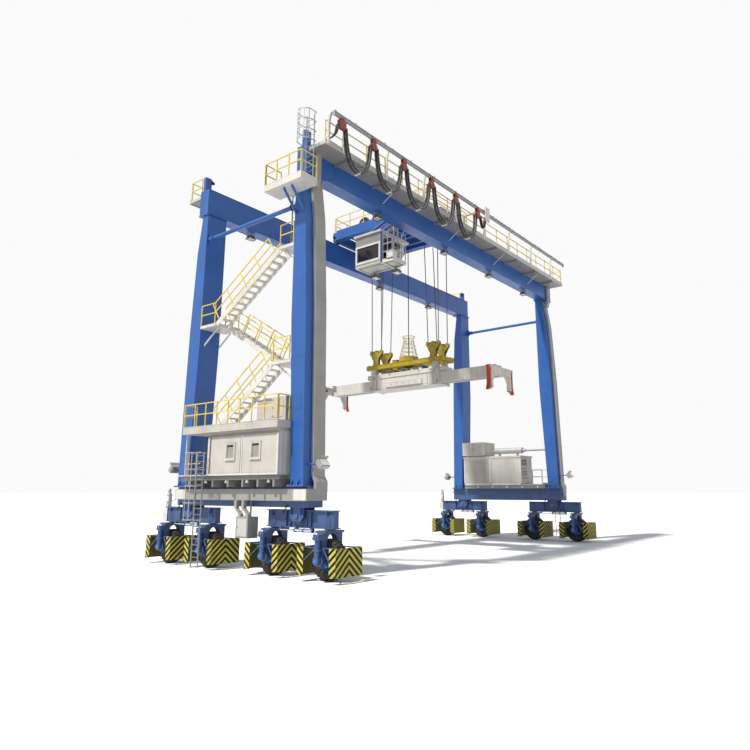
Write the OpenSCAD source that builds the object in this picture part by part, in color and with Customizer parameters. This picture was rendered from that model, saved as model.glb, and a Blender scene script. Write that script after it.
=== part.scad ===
// Rubber tyred gantry crane, full size.
// X is the span, Y is the gantry travel, Z is up; the ground is z = 0 and the
// origin lies midway between the four bogies. Front is -Y, left is -X.

/* [Portal] */
// Track from the left wheels to the right wheels
span = 26500; // [25500:100:27500]
// Distance between the front and the rear bogie pivots
wheel_base = 7920; // [7800:10:8100]
// Underside of the sill beams
sill_bottom = 2930; // [2900:10:2990]
// Depth of the sill beams
sill_height = 890; // [820:10:960]
// Width of the sill beams
sill_width = 900; // [860:10:940]
// Length of the sill beams
sill_length = 9500; // [9440:20:9560]
// Width of a leg across the span
leg_width = 1250; // [1180:10:1320]
// Depth of a leg where it meets the girder
leg_top_depth = 450; // [400:10:520]
// Depth of a leg at its foot
leg_foot_depth = 780; // [740:10:820]

/* [Girders] */
// Underside of the girders
girder_bottom = 18720; // [18600:20:18900]
// Depth of the girders
girder_height = 1480; // [1400:20:1560]
// Width of the girders
girder_width = 740; // [700:10:780]
// Clear gap between the two girders
girder_gap = 7100; // [7000:20:7200]
// Overhang of the girders past the leg centres
girder_overhang = 650; // [640:10:800]
// Width of the walkways outside the girders
walkway_width = 1110; // [1000:10:1160]
// Height of the hand rails
rail_height = 1100; // [1000:10:1150]

/* [Running gear] */
// Outer diameter of the tyres
tyre_diameter = 1700; // [1640:10:1720]
// Width of the tyres
tyre_width = 500; // [440:10:520]
// Distance between the two wheels of a bogie
wheel_pitch = 3370; // [3340:10:3440]
// Width of a steering fork
fork_width = 1220; // [1180:10:1260]
// Height of the guard plates
guard_height = 1130; // [1000:10:1140]
// Width of the guard plates
guard_width = 1650; // [1560:10:1680]

/* [Trolley] */
// Left end of the trolley frame
trolley_left = -3300; // [-3500:20:-3200]
// Right end of the trolley frame
trolley_right = 1750; // [1650:20:1900]
// Width of the operator cab along the travel
cab_width = 1900; // [1800:20:1960]
// Underside of the operator cab
cab_bottom = 16500; // [16440:10:16560]

/* [Hoist] */
// Centre of the hoist along the span
hoist_x = 100; // [0:20:160]
// Height of the corner plane of the spreader
corner_plane = 9540; // [9300:20:9900]
// Length between the lock centres of the spreader
lock_length = 13510; // [13400:10:13600]
// Diameter of the hoist ropes
rope_diameter = 28; // [22:1:34]
// Diameter of the headblock sheaves
sheave_diameter = 800; // [740:10:820]

/* [Hidden] */
hx = span / 2;
by = wheel_base / 2;
sill_top = sill_bottom + sill_height;
plate = 60;
gap = 1;
leg_z0 = sill_top + plate;
leg_z1 = girder_bottom - plate;
leg_in = girder_gap / 2 - 50;
leg_knee = 11500;
foot_shift = 300;
leg_foot = leg_in + foot_shift + leg_foot_depth;
leg_mid = [leg_in + 940, 12000];
leg_high = [leg_in + 740, 16500];
tie_z = 17200;
gy = girder_gap / 2 + girder_width / 2;
g_top = girder_bottom + girder_height;
gx = hx + girder_overhang;
rail_top = g_top + 130;
w_in = girder_gap / 2 + girder_width;
w_out = w_in + walkway_width;
floor_z = g_top - 200;
axle_z = tyre_diameter / 2;
yoke_top = 2030;
pivot_z = 2560;
track_y = -(w_out + 450);
track_z = g_top + 1000;
house_z = sill_top + 520;
roof_z = house_z + 2410;
drum_z = g_top + 1490;
deck_z = g_top + 950;
block_z = corner_plane + 3110;
arm_z = corner_plane + 770;
arm_h = 700;
frame_z = corner_plane + 2160;
carrier_x = [for (d = [2450, 5050, 7700, 10300]) d - hx];
clamp_x = -hx + 50;
walk_end = gx - 50;
towed_x = -350;

blue = [0.13, 0.30, 0.66];
white = [0.86, 0.86, 0.84];
grey = [0.50, 0.50, 0.49];
yellow = [0.90, 0.78, 0.18];
mustard = [0.74, 0.62, 0.06];
red = [0.55, 0.17, 0.13];
orange = [0.80, 0.22, 0.10];
black = [0.07, 0.07, 0.07];
steel = [0.62, 0.63, 0.64];

// A box given by its two corners
module box(a, b) {
  translate(a) cube([b[0] - a[0], b[1] - a[1], b[2] - a[2]]);
}

// A round bar from a to b
module rod(a, b, d) {
  v = b - a;
  l = norm(v);
  translate(a) rotate([0, acos(v[2] / l), atan2(v[1], v[0])]) cylinder(d = d, h = l);
}

// A square bar from a to b
module bar(a, b, s) {
  v = b - a;
  l = norm(v);
  translate(a) rotate([0, acos(v[2] / l), atan2(v[1], v[0])])
    translate([-s / 2, -s / 2, 0]) cube([s, s, l]);
}

// A flat outline in Y and Z pushed along X from x0 to x1
module slab_yz(x0, x1, pts) {
  translate([x0, 0, 0]) rotate([90, 0, 90]) linear_extrude(x1 - x0) polygon(pts);
}

// A flat outline in X and Z pushed along Y from y0 to y1
module slab_xz(y0, y1, pts) {
  translate([0, y1, 0]) rotate([90, 0, 0]) linear_extrude(y1 - y0) polygon(pts);
}

// A bar along X with a round section
module x_cyl(x0, x1, y, z, d) {
  translate([x0, y, z]) rotate([0, 90, 0]) cylinder(d = d, h = x1 - x0);
}

// A run of hand rail from a to b with n bays; u is the post as a vector
module rail(a, b, n, u = [0, 0, rail_height], s = 44) {
  for (i = [0 : n]) bar(a + (b - a) * i / n, a + (b - a) * i / n + u, s);
  bar(a + u, b + u, s);
  bar(a + u * 0.52, b + u * 0.52, s);
}

// Portal legs, one pair per side

// Inner face of a leg at height z
function leg_inner(z) = leg_in + foot_shift * max(0, leg_knee - z) / (leg_knee - leg_z0);

module leg_shape(x) {
  slab_yz(x - leg_width / 2, x + leg_width / 2, [
    [leg_in + foot_shift, leg_z0 + gap], [leg_foot, leg_z0 + gap], leg_mid, leg_high,
    [leg_in + leg_top_depth, leg_z1 - gap], [leg_in, leg_z1 - gap], [leg_in, leg_knee]]);
  box([x - leg_width / 2 - 150, leg_in + foot_shift - 120, sill_top],
      [x + leg_width / 2 + 150, leg_foot + 100, leg_z0]);
  box([x - leg_width / 2 - 60, leg_in - 100, leg_z1],
      [x + leg_width / 2 + 60, w_in, girder_bottom]);
}

module legs(x) {
  color(blue) {
    leg_shape(x);
    mirror([0, 1, 0]) leg_shape(x);
  }
}

module legs_left() { legs(-hx); }
module legs_right() { legs(hx); }

// Sill beams with the pivot brackets of the bogies

module sill(x) {
  color(blue) {
    box([x - sill_width / 2, -sill_length / 2, sill_bottom],
        [x + sill_width / 2, sill_length / 2, sill_top]);
    for (y = [-by, by]) {
      for (s = [-1, 1]) translate([x + s * 310, y, 0])
        slab_yz(-40, 40, [[-415, sill_bottom + 5], [-415, 2560], [-260, 2350],
                          [260, 2350], [415, 2560], [415, sill_bottom + 5]]);
      x_cyl(x - 380, x + 380, y, pivot_z, 180);
    }
  }
}

module sill_beam_left() { sill(-hx); }
module sill_beam_right() { sill(hx); }

// Main girders with their end posts and trolley rails

module girder(s) {
  color(blue) {
    box([-gx, s * gy - girder_width / 2, girder_bottom],
        [gx, s * gy + girder_width / 2, g_top]);
    for (e = [-1, 1])
      box([e * (gx - 190) - 190, s * (gy + 60) - 110, g_top + gap],
          [e * (gx - 190) + 190, s * (gy + 60) + 110, g_top + 800]);
  }
  color(steel)
    box([-gx + 500, s * (gy - 90) - 45, g_top + gap], [gx - 500, s * (gy - 90) + 45, rail_top]);
}

module girder_front() { girder(-1); }
module girder_rear() { girder(1); }

// Pipes between the front and the rear legs

tie_y = leg_in - 420;

module portal_ties() {
  color(blue) for (s = [-1, 1]) {
    x = s * (hx + 450);
    rod([x, -tie_y + gap, tie_z], [x, tie_y - gap, tie_z], 220);
    for (t = [-1, 1]) {
      rod([x, t * tie_y, tie_z], [x, t * leg_in, tie_z], 220);
      slab_yz(x - 15, x + 15, [[t * leg_in, tie_z - 300], [t * leg_in, tie_z + 300],
        [t * tie_y, tie_z + 50], [t * tie_y, tie_z - 50]]);
    }
  }
}

// Walkways outside both girders

toe = 40;

module walkways() {
  color(white) for (s = [-1, 1]) {
    y0 = s > 0 ? w_in : -w_out + toe + gap;
    y1 = s > 0 ? w_out - toe - gap : -w_in;
    box([-walk_end, y0, floor_z - 170], [walk_end, y1, floor_z]);
    box([-walk_end, s * (w_out - toe / 2) - toe / 2, floor_z - 200],
        [walk_end, s * (w_out - toe / 2) + toe / 2, floor_z + 110]);
    for (x = [-12000 : 3000 : 12000])
      box([x - 30, y0, floor_z - 330], [x + 30, y1, floor_z - 170 - gap]);
  }
}

// Yellow hand rails of the walkways, the house roof and the stairs

module handrails() {
  e = 60;
  rx = hs_x0 - 180;
  color(yellow) {
    for (s = [-1, 1]) {
      y = s * (w_out - 70);
      rail([-walk_end + 50, y, floor_z], [walk_end - 50, y, floor_z], 18);
      rail([walk_end - 50, y - s * e, floor_z], [walk_end - 50, s * (w_in + 60), floor_z], 1);
    }
    rail([-walk_end + 50, w_out - 70 - e, floor_z], [-walk_end + 50, w_in + 60, floor_z], 1);
    // House roof
    rail([rx, leg_in - 240, roof_z], [rx, roof_y0 + 60, roof_z], 8);
    rail([rx + e, leg_in - 240, roof_z], [-hx - 660, leg_in - 240, roof_z], 1);
    rail([rx + e, roof_y0 + 60, roof_z], [-hx - 660, roof_y0 + 60, roof_z], 1);
    // Stair flights
    stair_rail(f1_a, f1_b, outer_lane);
    stair_rail(f2_a, f2_b, inner_lane);
    stair_rail(f3_a, f3_b, outer_lane);
    // Landings
    for (x = [lane_out + 25, lane_in - 25]) {
      rail([x, -leg_in + 40, l1_z], [x, -2340, l1_z], 1);
      rail([x, leg_in - 40, l2_z], [x, 2300, l2_z], 1);
      rail([x, -leg_in + 40, l3_z], [x, -2540, l3_z], 1);
    }
    rail([lane_in - 25 - e, -2520, l3_z], [lane_out + 750, -2520, l3_z], 1);
    // Top platform
    rail([tp_x0 + 30, -4920, tp_z], [tp_x0 + 30, -2430, tp_z], 3);
    rail([tp_x0 + 30 + e, -2430, tp_z], [tp_x1 - 30, -2430, tp_z], 1);
    rail([tp_x0 + 30 + e, -4920, tp_z], [tp_x1 - 30, -4920, tp_z], 1);
  }
  color(steel) for (x = [hx - 770, hx + 1070])
    rail([x, -1760, sill_top + 320], [x, -3400, sill_top + 320], 2, [0, 0, rail_height], 36);
}

// Stairs between the left legs

lane_out = -hx - 650;
lane_in = -hx + 950;
outer_lane = [lane_out, lane_out + 750];
inner_lane = [lane_in - 750, lane_in];
l1_z = 9560;
l2_z = 12200;
l3_z = 15250;
f1_a = [1540, roof_z];
f1_b = [-2300, l1_z];
f2_a = [-2300, l1_z];
f2_b = [2200, l2_z];
f3_a = [2200, l2_z];
f3_b = [-2500, l3_z];
tp_x0 = -hx - 1700;
tp_x1 = -hx - leg_width / 2 - gap;
tp_z = girder_bottom - 620;

// Hand rails on both sides of a flight, posts square to the slope
module stair_rail(a, b, lane) {
  d = (b - a) / norm(b - a);
  u = [0, -abs(d[1]) * sign(d[0]) * 950, abs(d[0]) * 950];
  for (x = [lane[0] - 22, lane[1] + 22])
    rail([x, a[0] + 0.06 * (b[0] - a[0]), a[1] + 0.06 * (b[1] - a[1])],
         [x, b[0] - 0.06 * (b[0] - a[0]), b[1] - 0.06 * (b[1] - a[1])], 4, u);
}

// One flight: two stringers, cut upright at the top and level at foot, and its treads
module flight(a, b, lane, foot = 0) {
  d = (b - a) / norm(b - a);
  n = [-d[1] * sign(d[0]), abs(d[0])];
  p = a + d * 12;
  q = b - d * 12;
  low = p - n * 260;
  high = low + d * (q[0] - low[0]) / d[0];
  start = foot > low[1]
    ? [low + d * (foot - low[1]) / d[1], p - n * (p[1] - foot) / n[1]] : [low];
  for (x = [lane[0], lane[1] - 30]) slab_yz(x, x + 30, concat([p, q, high], start));
  c = floor((b[1] - a[1]) / 230);
  for (i = [1 : c - 1]) {
    t = i / c;
    y = a[0] + (b[0] - a[0]) * t;
    z = a[1] + (b[1] - a[1]) * t;
    box([lane[0] + 31, y - 130, z - 100], [lane[1] - 31, y + 130, z - 60]);
  }
}

// A landing from y0 at the flights to y1 at a leg, with its two struts
module landing(y0, y1, z, drop) {
  s = sign(y1);
  box([lane_out, min(y0, y1), z - 150], [lane_in, max(y0, y1), z]);
  for (x = [lane_out + 300, lane_in - 370])
    bar([x, y0 + s * 150, z - 180], [x, s * (leg_inner(z - drop) - 30), z - drop], 60);
}

module stairs() {
  color(white) {
    flight(f1_a, f1_b, outer_lane, roof_z - 40 + gap);
    flight(f2_a, f2_b, inner_lane);
    flight(f3_a, f3_b, outer_lane);
    landing(f1_b[0], -leg_inner(l1_z), l1_z, 1000);
    landing(f2_b[0], leg_in, l2_z, 1000);
    landing(f3_b[0], -leg_in, l3_z, 900);
  }
}

// A straight ladder with its rungs along Y, facing X
module ladder(x, y0, y1, z0, z1) {
  for (y = [y0, y1]) box([x - 30, y - 15, z0], [x + 30, y + 15, z1]);
  for (z = [z0 + 180 : 275 : z1 - 60]) rod([x, y0, z], [x, y1, z], 26);
}

access_x = -hx - 1420;

// A safety cage around a ladder whose rails are at y +- 260, standing out to -X
module cage(x, y, z0, z1, n, r) {
  c = x - 340;
  for (i = [0 : n]) {
    z = z0 + (z1 - z0 - 50) * i / n;
    translate([c, y, z]) difference() {
      cylinder(r = r, h = 50);
      translate([0, 0, -1]) cylinder(r = r - 12, h = 52);
      translate([0, -r - 1, -1]) cube([r + 1, 2 * r + 2, 52]);
    }
    for (s = [-1, 1]) {
      box([c - 1, y + s * (r - 6) - 6, z], [x, y + s * (r - 6) + 6, z + 50]);
      box([x - 12, y + s * (r + 250) / 2 - (r - 250) / 2, z],
          [x, y + s * (r + 250) / 2 + (r - 250) / 2, z + 50]);
    }
  }
  for (a = [110 : 35 : 250])
    translate([c + (r - 6) * cos(a), y + (r - 6) * sin(a), z0])
      rotate([0, 0, a]) translate([-6, -20, 0]) cube([12, 40, z1 - z0]);
}

// From the ground to the balcony of the electric house
module access_ladder() {
  color(steel) {
    ladder(access_x, 1390, 1910, 160, house_z + 1100);
    cage(access_x, 1650, 2300, house_z + 1090, 4, 400);
    for (y = [1390, 1910])
      box([access_x - 10, y - 15, house_z - 60], [hs_x0 + 20, y + 15, house_z]);
  }
}

// From the top platform to the front walkway
module top_ladder() {
  color(steel) {
    ladder(-gx - 80, -4760, -4240, tp_z, g_top + 1350);
    cage(-gx - 80, -4500, g_top - 200, g_top + 1400, 3, 400);
  }
}

// From the top landing to the top platform, and outside the right sill
module plain_ladders() {
  color(steel) {
    ladder(-hx - 200, -3350, -2850, l3_z, tp_z + 1000);
    ladder(hx + sill_width / 2 + 30, -by - 200, -by + 200, 350, sill_top - 50);
  }
}

// Platform at the top of the left front leg

module top_platform() {
  color(white) {
    box([tp_x0, -4950, tp_z - 350], [tp_x1, -2400, tp_z]);
    box([tp_x1 + gap, -3400, tp_z - 200], [-hx - 260, -2800, tp_z]);
  }
  color(blue) for (y = [-4140, -3600])
    bar([tp_x0 + 200, y, tp_z - 400], [tp_x1 - 45, y, tp_z - 1350], 90);
}

// Electric house on the left sill, hollow, with its roof platform and balcony

hs_x0 = -hx - 1200;
hs_x1 = -hx + 1200;
hs_y0 = -3600;
hs_y1 = 1400;
house_wall = 1910;
roof_y0 = -leg_inner(roof_z) + 5;
balcony_y1 = leg_inner(house_z) - 20;
window_y = [-560, -2350];
window_z = [house_z + 800, house_z + 1400];
window_width = 500;

module window_frame(y0, y1, z0, z1) {
  difference() {
    box([hs_x0 - 40, y0 - 100, z0 - 100], [hs_x0 + 70, y1 + 100, z1 + 100]);
    box([hs_x0 - 60, y0, z0], [hs_x0 + 90, y1, z1]);
  }
  box([hs_x0 + 10, y0 - 5, z0 - 5], [hs_x0 + 30, y1 + 5, z1 + 5]);
}

module electric_house() {
  z1 = house_z + house_wall;
  // Cabinets on the roof platform
  color(white) {
    box([-hx - 500, -3200, roof_z - 38], [-hx + 300, -2250, roof_z + 1150]);
    box([-hx - 350, -2150, roof_z - 38], [-hx + 300, -1050, roof_z + 1050]);
  }
  color(grey) {
    box([-hx - 380, -2150, roof_z + 1050], [-hx + 330, -1050, roof_z + 1110]);
    box([-hx - 520, -3050, roof_z + 200], [-hx - 495, -2400, roof_z + 1000]);
  }
  color(white) {
    difference() {
      box([hs_x0, hs_y0, house_z], [hs_x1, hs_y1, z1]);
      box([hs_x0 + 60, hs_y0 + 60, house_z + 80], [hs_x1 - 60, hs_y1 - 60, z1 - 60]);
      for (y = window_y)
        box([hs_x0 - 10, y, window_z[0]], [hs_x0 + 80, y + window_width, window_z[1]]);
      box([-hx - 250, hs_y1 - 80, house_z + 80], [-hx + 600, hs_y1 + 10, z1 - 130]);
    }
    for (y = window_y) window_frame(y, y + window_width, window_z[0], window_z[1]);
    // Roof platform
    box([hs_x0 - 200, roof_y0, z1 + 130], [hs_x1 + 100, leg_in - 200, roof_z - 40]);
    box([hs_x0 - 200, roof_y0, z1 + 130], [hs_x0 - 170, leg_in - 200, roof_z]);
    box([hs_x0 + 60, hs_y0 + 60, z1 - 5], [hs_x1 - 60, hs_y1 - 60, z1 + 135]);
    // Balcony and its posts up to the roof platform
    box([hs_x0, hs_y1 - 5, house_z], [hs_x1, balcony_y1, house_z + 60]);
    for (x = [hs_x0 + 40, hs_x1 - 120])
      box([x, leg_in - 290, house_z + 55], [x + 80, leg_in - 210, z1 + 135]);
  }
  color(grey) {
    for (x = [hs_x0 + 100, -hx - 350, -hx + 250, hs_x1 - 200])
      box([x, hs_y0 + 20, sill_top + 310], [x + 100, leg_in, house_z + 5]);
    for (y = [-3300, -2250, -1200, -150, 1000, 2900])
      box([hs_x0 + 100, y, sill_top], [hs_x1 - 100, y + 120, sill_top + 315]);
  }
}

// Generator house on the right sill

generator_wall = 2140;

module generator_house() {
  z0 = sill_top + 260;
  z1 = z0 + generator_wall;
  color(white) {
    box([hx - 800, -1700, z0], [hx + 1100, 3450, z1]);
    box([hx - 860, -1760, z1], [hx + 1160, 3480, z1 + 120]);
    box([hx - 900, 1500, z1 + 230], [hx + 900, leg_in, z1 + 1270]);
    box([hx - 700, 1700, z1 + 115], [hx + 700, 3300, z1 + 235]);
    box([hx - 800, -3450, z0], [hx + 1100, -1700, z0 + 60]);
  }
  color(grey) {
    difference() {
      box([hx - 760, -3600, sill_top], [hx - 660, 3450, z0]);
      for (y = [-3000, -1700, -400, 900, 2200])
        x_cyl(hx - 780, hx - 640, y, sill_top + 130, 170);
    }
    difference() {
      box([hx + 560, -3480, sill_top], [hx + 660, 3450, z0]);
      for (y = [-3000, -1700, -400, 900, 2200])
        x_cyl(hx + 540, hx + 680, y, sill_top + 130, 170);
    }
    for (y = [-3400, -1500, 3200])
      box([hx - 670, y, sill_top], [hx + 570, y + 100, z0]);
  }
  color(steel) {
    rod([hx, -1500, z1 + 560], [hx, 900, z1 + 560], 460);
    rod([hx, -1750, z1 + 560], [hx, -3440, z1 + 560], 160);
    rod([hx, -1760, z1 + 560], [hx, -1495, z1 + 560], 240);
    for (y = [-1100, 500]) box([hx - 150, y, z1 + 100], [hx + 150, y + 100, z1 + 380]);
  }
}

// Floodlights under the girders and beside the leg feet

lamp_x = [-8100, -1350, 4350, 9700];
rear_lamp_x = [-10500, -4600, 1800, 8200];
foot_lamp_z = 4770;

module lamp(x, y, z, a) {
  translate([x, y, z]) rotate([a, 0, 0]) {
    translate([-210, -150, -330]) cube([420, 300, 160]);
    translate([-250, -190, -350]) cube([500, 380, 30]);
  }
}

module floodlights() {
  color(steel) {
    for (x = lamp_x) {
      rod([x, -gy, girder_bottom - 210], [x, -gy, girder_bottom], 50);
      lamp(x, -gy, girder_bottom, 0);
    }
    for (x = rear_lamp_x) {
      rod([x, gy, girder_bottom - 210], [x, gy, girder_bottom], 50);
      lamp(x, gy, girder_bottom, 0);
    }
    for (sx = [-1, 1]) for (sy = [-1, 1]) {
      x = sx * hx - 300;
      rod([x, sy * (leg_foot - 12), foot_lamp_z], [x, sy * (leg_foot + 700), foot_lamp_z], 60);
      translate([x, sy * (leg_foot + 850), foot_lamp_z]) rotate([sy * 35, 0, 0])
        translate([-260, -110, -190]) cube([520, 220, 380]);
    }
  }
}

// Cable ducts on the left sill, up both front legs and up to the front walkway

duct_depth = 140;
duct_z = sill_top - 600;
duct_end = -sill_length / 2 - 10;

// One length of duct between two corner points of the leg's outer face
module duct_length(x0, x1, a, b) {
  slab_yz(x0, x1, [[-a[0] - 10, a[1]], [-a[0] - 10 - duct_depth, a[1]],
                   [-b[0] - 10 - duct_depth, b[1] - gap], [-b[0] - 10, b[1] - gap]]);
}

module leg_duct(x0, x1) {
  face = [[sill_length / 2, duct_z], [sill_length / 2, leg_z0 + 150], [leg_foot, leg_z0 + 400],
          leg_mid, leg_high, [leg_in + leg_top_depth, leg_z1 - 60]];
  for (i = [0 : 4]) duct_length(x0, x1, face[i], face[i + 1]);
}

module girder_duct(x0, x1) {
  knee = girder_bottom - 240;
  duct_length(x0, x1, [w_in, knee], [w_in, floor_z - 170]);
  duct_length(x0, x1, [w_in - 120, knee - 380], [w_in, knee]);
}

module cable_ducts() {
  so = -hx - sill_width / 2;
  color(grey) {
    leg_duct(-hx - 150, -hx + 570);
    leg_duct(hx - 200, hx + 150);
    girder_duct(-hx - 200, -hx + 150);
    girder_duct(hx - 200, hx + 150);
    // Along the outside of the left sill and round its front corner
    box([so - 260, duct_end - duct_depth, duct_z], [so, 4600, duct_z + 500]);
    box([so + gap, duct_end - duct_depth, duct_z], [-hx - 150 - gap, duct_end, duct_z + 500]);
    // Hanging cabinet, its hanger and its two bent ducts
    box([-hx - 950, -1480, 1560], [-hx - 350, -640, 2500]);
    box([so - 70, -1130, 2500 + gap], [so - 10, -1070, duct_z - gap]);
    for (y = [-1400, -880]) {
      box([-hx - 900, y, 2500 + gap], [-hx - 720, y + 160, 2600]);
      slab_yz(-hx - 900, -hx - 720,
              [[y, 2600 + gap], [y + 160, 2600 + gap], [y + 490, 2870], [y + 330, 2870]]);
      box([-hx - 900, y + 330, 2870 + gap], [-hx - 720, y + 490, duct_z - gap]);
    }
  }
}

// Track of the festoon with its brackets, end clamp and buffer

bracket_x = [-12650, -9200, -5750, -2300, 1150, 4600, 8050, 11500];

// Gooseneck from the walkway's edge over the top of the track, h is half its width
module track_bracket(x, h = 35) {
  y = -w_out;
  z = track_z;
  slab_yz(x - h, x + h, [[y - 1, floor_z - 150], [y - 1, z - 310], [y - 110, z - 310],
                         [y - 110, floor_z - 150]]);
  slab_yz(x - h, x + h, [[y - 1, z - 310 + gap], [y - 38, z + 40], [y - 158, z + 40],
                         [y - 110, z - 310 + gap]]);
  slab_yz(x - h, x + h, [[y - 38, z + 40 + gap], [y - 130, z + 200], [y - 240, z + 200],
                         [y - 158, z + 40 + gap]]);
  slab_yz(x - h, x + h, [[track_y - 60, z + 200 + gap], [y - 130, z + 200 + gap],
                         [y - 150, z + 225], [track_y - 60, z + 260]]);
}

module festoon_track() {
  color(steel) {
    x0 = -hx - 520;
    x1 = hx - 150;
    box([x0, track_y - 60, track_z], [x1, track_y + 60, track_z + 16]);
    box([x0, track_y - 8, track_z + 16 + gap], [x1, track_y + 8, track_z + 184 - gap]);
    box([x0, track_y - 60, track_z + 184], [x1, track_y + 60, track_z + 200]);
  }
  color(white) {
    for (x = bracket_x) track_bracket(x);
    track_bracket(-hx - 450, 60);
  }
  color(red) {
    box([clamp_x - 235, track_y - 90, track_z - 520], [clamp_x + 235, track_y + 90, track_z - 91]);
    for (s = [-1, 1]) box([clamp_x - 100, s * 80 + track_y - 12, track_z - 90],
                          [clamp_x + 100, s * 80 + track_y + 12, track_z + 40]);
    box([clamp_x - 100, track_y - 67, track_z - 12], [clamp_x + 100, track_y + 67, track_z - gap]);
  }
}

// One festoon carrier: trolley plates beside the track and a cable saddle
module carrier(x) {
  color(red) {
    for (s = [-1, 1])
      box([x - 150, track_y + s * 85 - 10, track_z - 130], [x + 150, track_y + s * 85 + 10, track_z + 110]);
    box([x - 150, track_y - 95, track_z - 160], [x + 150, track_y + 95, track_z - 110]);
    for (e = [-100, 100]) for (s = [-1, 1])
      translate([x + e, track_y + s * 50, track_z + 61]) rotate([90, 0, 0])
        cylinder(d = 80, h = 60, center = true);
    slab_xz(track_y - 90, track_y + 90, [
      [x - 130, track_z - 155], [x - 240, track_z - 330], [x - 240, track_z - 480],
      [x - 120, track_z - 560], [x + 120, track_z - 560], [x + 240, track_z - 480],
      [x + 240, track_z - 330], [x + 130, track_z - 155]]);
  }
}

module festoon_carrier_1() { carrier(carrier_x[0]); }
module festoon_carrier_2() { carrier(carrier_x[1]); }
module festoon_carrier_3() { carrier(carrier_x[2]); }
module festoon_carrier_4() { carrier(carrier_x[3]); }

// Cable loops between the carriers, as flat strands side by side

function loop_pt(xa, xb, z0, drop, t) =
  [xa + (xb - xa) * (t - 0.11 * sin(360 * t)), z0 - drop * pow(sin(180 * t), 0.75)];

module strand(xa, xb, z0, drop, y) {
  n = 26;
  w = 24;
  up = [for (i = [0 : n]) loop_pt(xa + w, xb - w, z0, drop - w, i / n)];
  lo = [for (i = [n : -1 : 0]) loop_pt(xa - w, xb + w, z0, drop + w, i / n)];
  slab_xz(y - 24, y + 24, concat(up, lo));
}

module loop(xa, xb, drop, n) {
  color(black) for (i = [0 : n - 1])
    strand(xa + 270, xb - 270, track_z - 420, drop, track_y + (i - (n - 1) / 2) * 56);
}

module festoon_cables() {
  xs = concat([clamp_x], carrier_x, [towed_x]);
  for (i = [0 : 4]) loop(xs[i], xs[i + 1], 1950, 4);
  // Feed from the girder end up to the end clamp
  color(black) for (i = [0 : 3]) {
    y = track_y + (i - 1.5) * 56;
    bar([clamp_x - 265, y, track_z - 350], [clamp_x - 330, y, track_z - 860], 48);
    bar([clamp_x - 330, y, track_z - 840], [clamp_x - 350, y + 300, track_z - 990], 48);
    bar([clamp_x - 350, y + 290, track_z - 990], [clamp_x - 370, y + 1450, track_z - 1030], 48);
  }
}

// Trolley between the girders

tw = gy - 90;

// One hanger bar of the cab at y: from x0 on the roof rail up to z1 at the trolley's end
module hanger(y, x0, a, z1, b) {
  z0 = cab_top + 120 + gap;
  x1 = trolley_left - gap;
  slab_xz(y - 55, y + 55, [[x0 - a, z0], [x0 + a, z0], [x1, z1 - b], [x1, z1 + b]]);
}

module trolley_frame() {
  z0 = rail_top + 180;
  z1 = deck_z;
  // Left end and width of the five cross beams
  beams = [[trolley_left, 500], [-1150, 160], [hoist_x - 640, 160], [hoist_x + 480, 160],
           [trolley_right - 500, 500]];
  color(blue) {
    for (s = [-1, 1]) {
      box([trolley_left, s * tw - 130, z0], [trolley_right, s * tw + 130, z1 - 50]);
      for (x = [trolley_left + 250, trolley_right - 250])
        translate([x, s * tw - 60, rail_top + 6 + 250]) rotate([-90, 0, 0]) cylinder(d = 500, h = 120);
    }
    for (b = beams) {
      wide = b[1] > 200;
      box([b[0], -tw + 131, z0 + (wide ? 60 : 100)],
          [b[0] + b[1], tw - 131, z1 - (wide ? 11 : 60)]);
    }
    for (y = [-2900, -1200, 1100, 2800]) for (i = [0 : 3])
      box([beams[i][0] + beams[i][1] + gap, y - 80, z0 + 160],
          [beams[i + 1][0] - gap, y + 80, z1 - 80]);
    // Hanger of the cab
    for (y = [cab_y0 + 260, cab_y1 - 260]) {
      hanger(y, cab_x0 + 500, 85, z0 + 480, 72);
      hanger(y, cab_x1 - 300, 62, z0 + 190, 125);
      box([cab_x0 + 150, y - 60, cab_top], [cab_x1 - 100, y + 60, cab_top + 120]);
    }
    for (x = [cab_x0 + 400, cab_x1 - 400])
      box([x, cab_y0 + 321, cab_top + 10], [x + 110, cab_y1 - 321, cab_top + 110]);
  }
}

module trolley_machinery() {
  z = deck_z + 30 + gap;
  color(steel)
    box([trolley_left + 60, -tw + 200, deck_z - 10], [trolley_right - 60, tw - 200, deck_z + 30]);
  color(grey) {
    for (x = [-2380, -420]) difference() {
      slab_yz(x - 60, x + 60, [[1700, z], [2300, z], [2120, drum_z + 120], [1880, drum_z + 120]]);
      x_cyl(x - 61, x + 61, 2000, drum_z, 156);
    }
    // Gearbox, hoist motor and its foot
    box([-300, 1450, z], [300, 2500, drum_z + 250]);
    x_cyl(300 + gap, 1150, 1750, drum_z - 50, 520);
    box([500, 1550, z], [900, 1950, drum_z - 310 - gap]);
    // Cabinets
    box([-2600, -2900, z], [-900, -2000, deck_z + 1000]);
    box([-700, -3300, z], [1300, -2710, deck_z + 850]);
    // Covers of the upper sheaves
    for (y = [[-2700, -2000], [2310, 2700]]) for (x = [-520, 520])
      box([hoist_x + x - 90, y[0], z], [hoist_x + x + 90, y[1], z + 120]);
  }
}

module hoist_drum() {
  color(black) {
    x_cyl(-2250, -550, 2000, drum_z, 760);
    x_cyl(-2310, -2250, 2000, drum_z, 960);
    x_cyl(-550, -490, 2000, drum_z, 960);
  }
  color(steel) {
    x_cyl(-2500, -305, 2000, drum_z, 140);
  }
}

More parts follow.
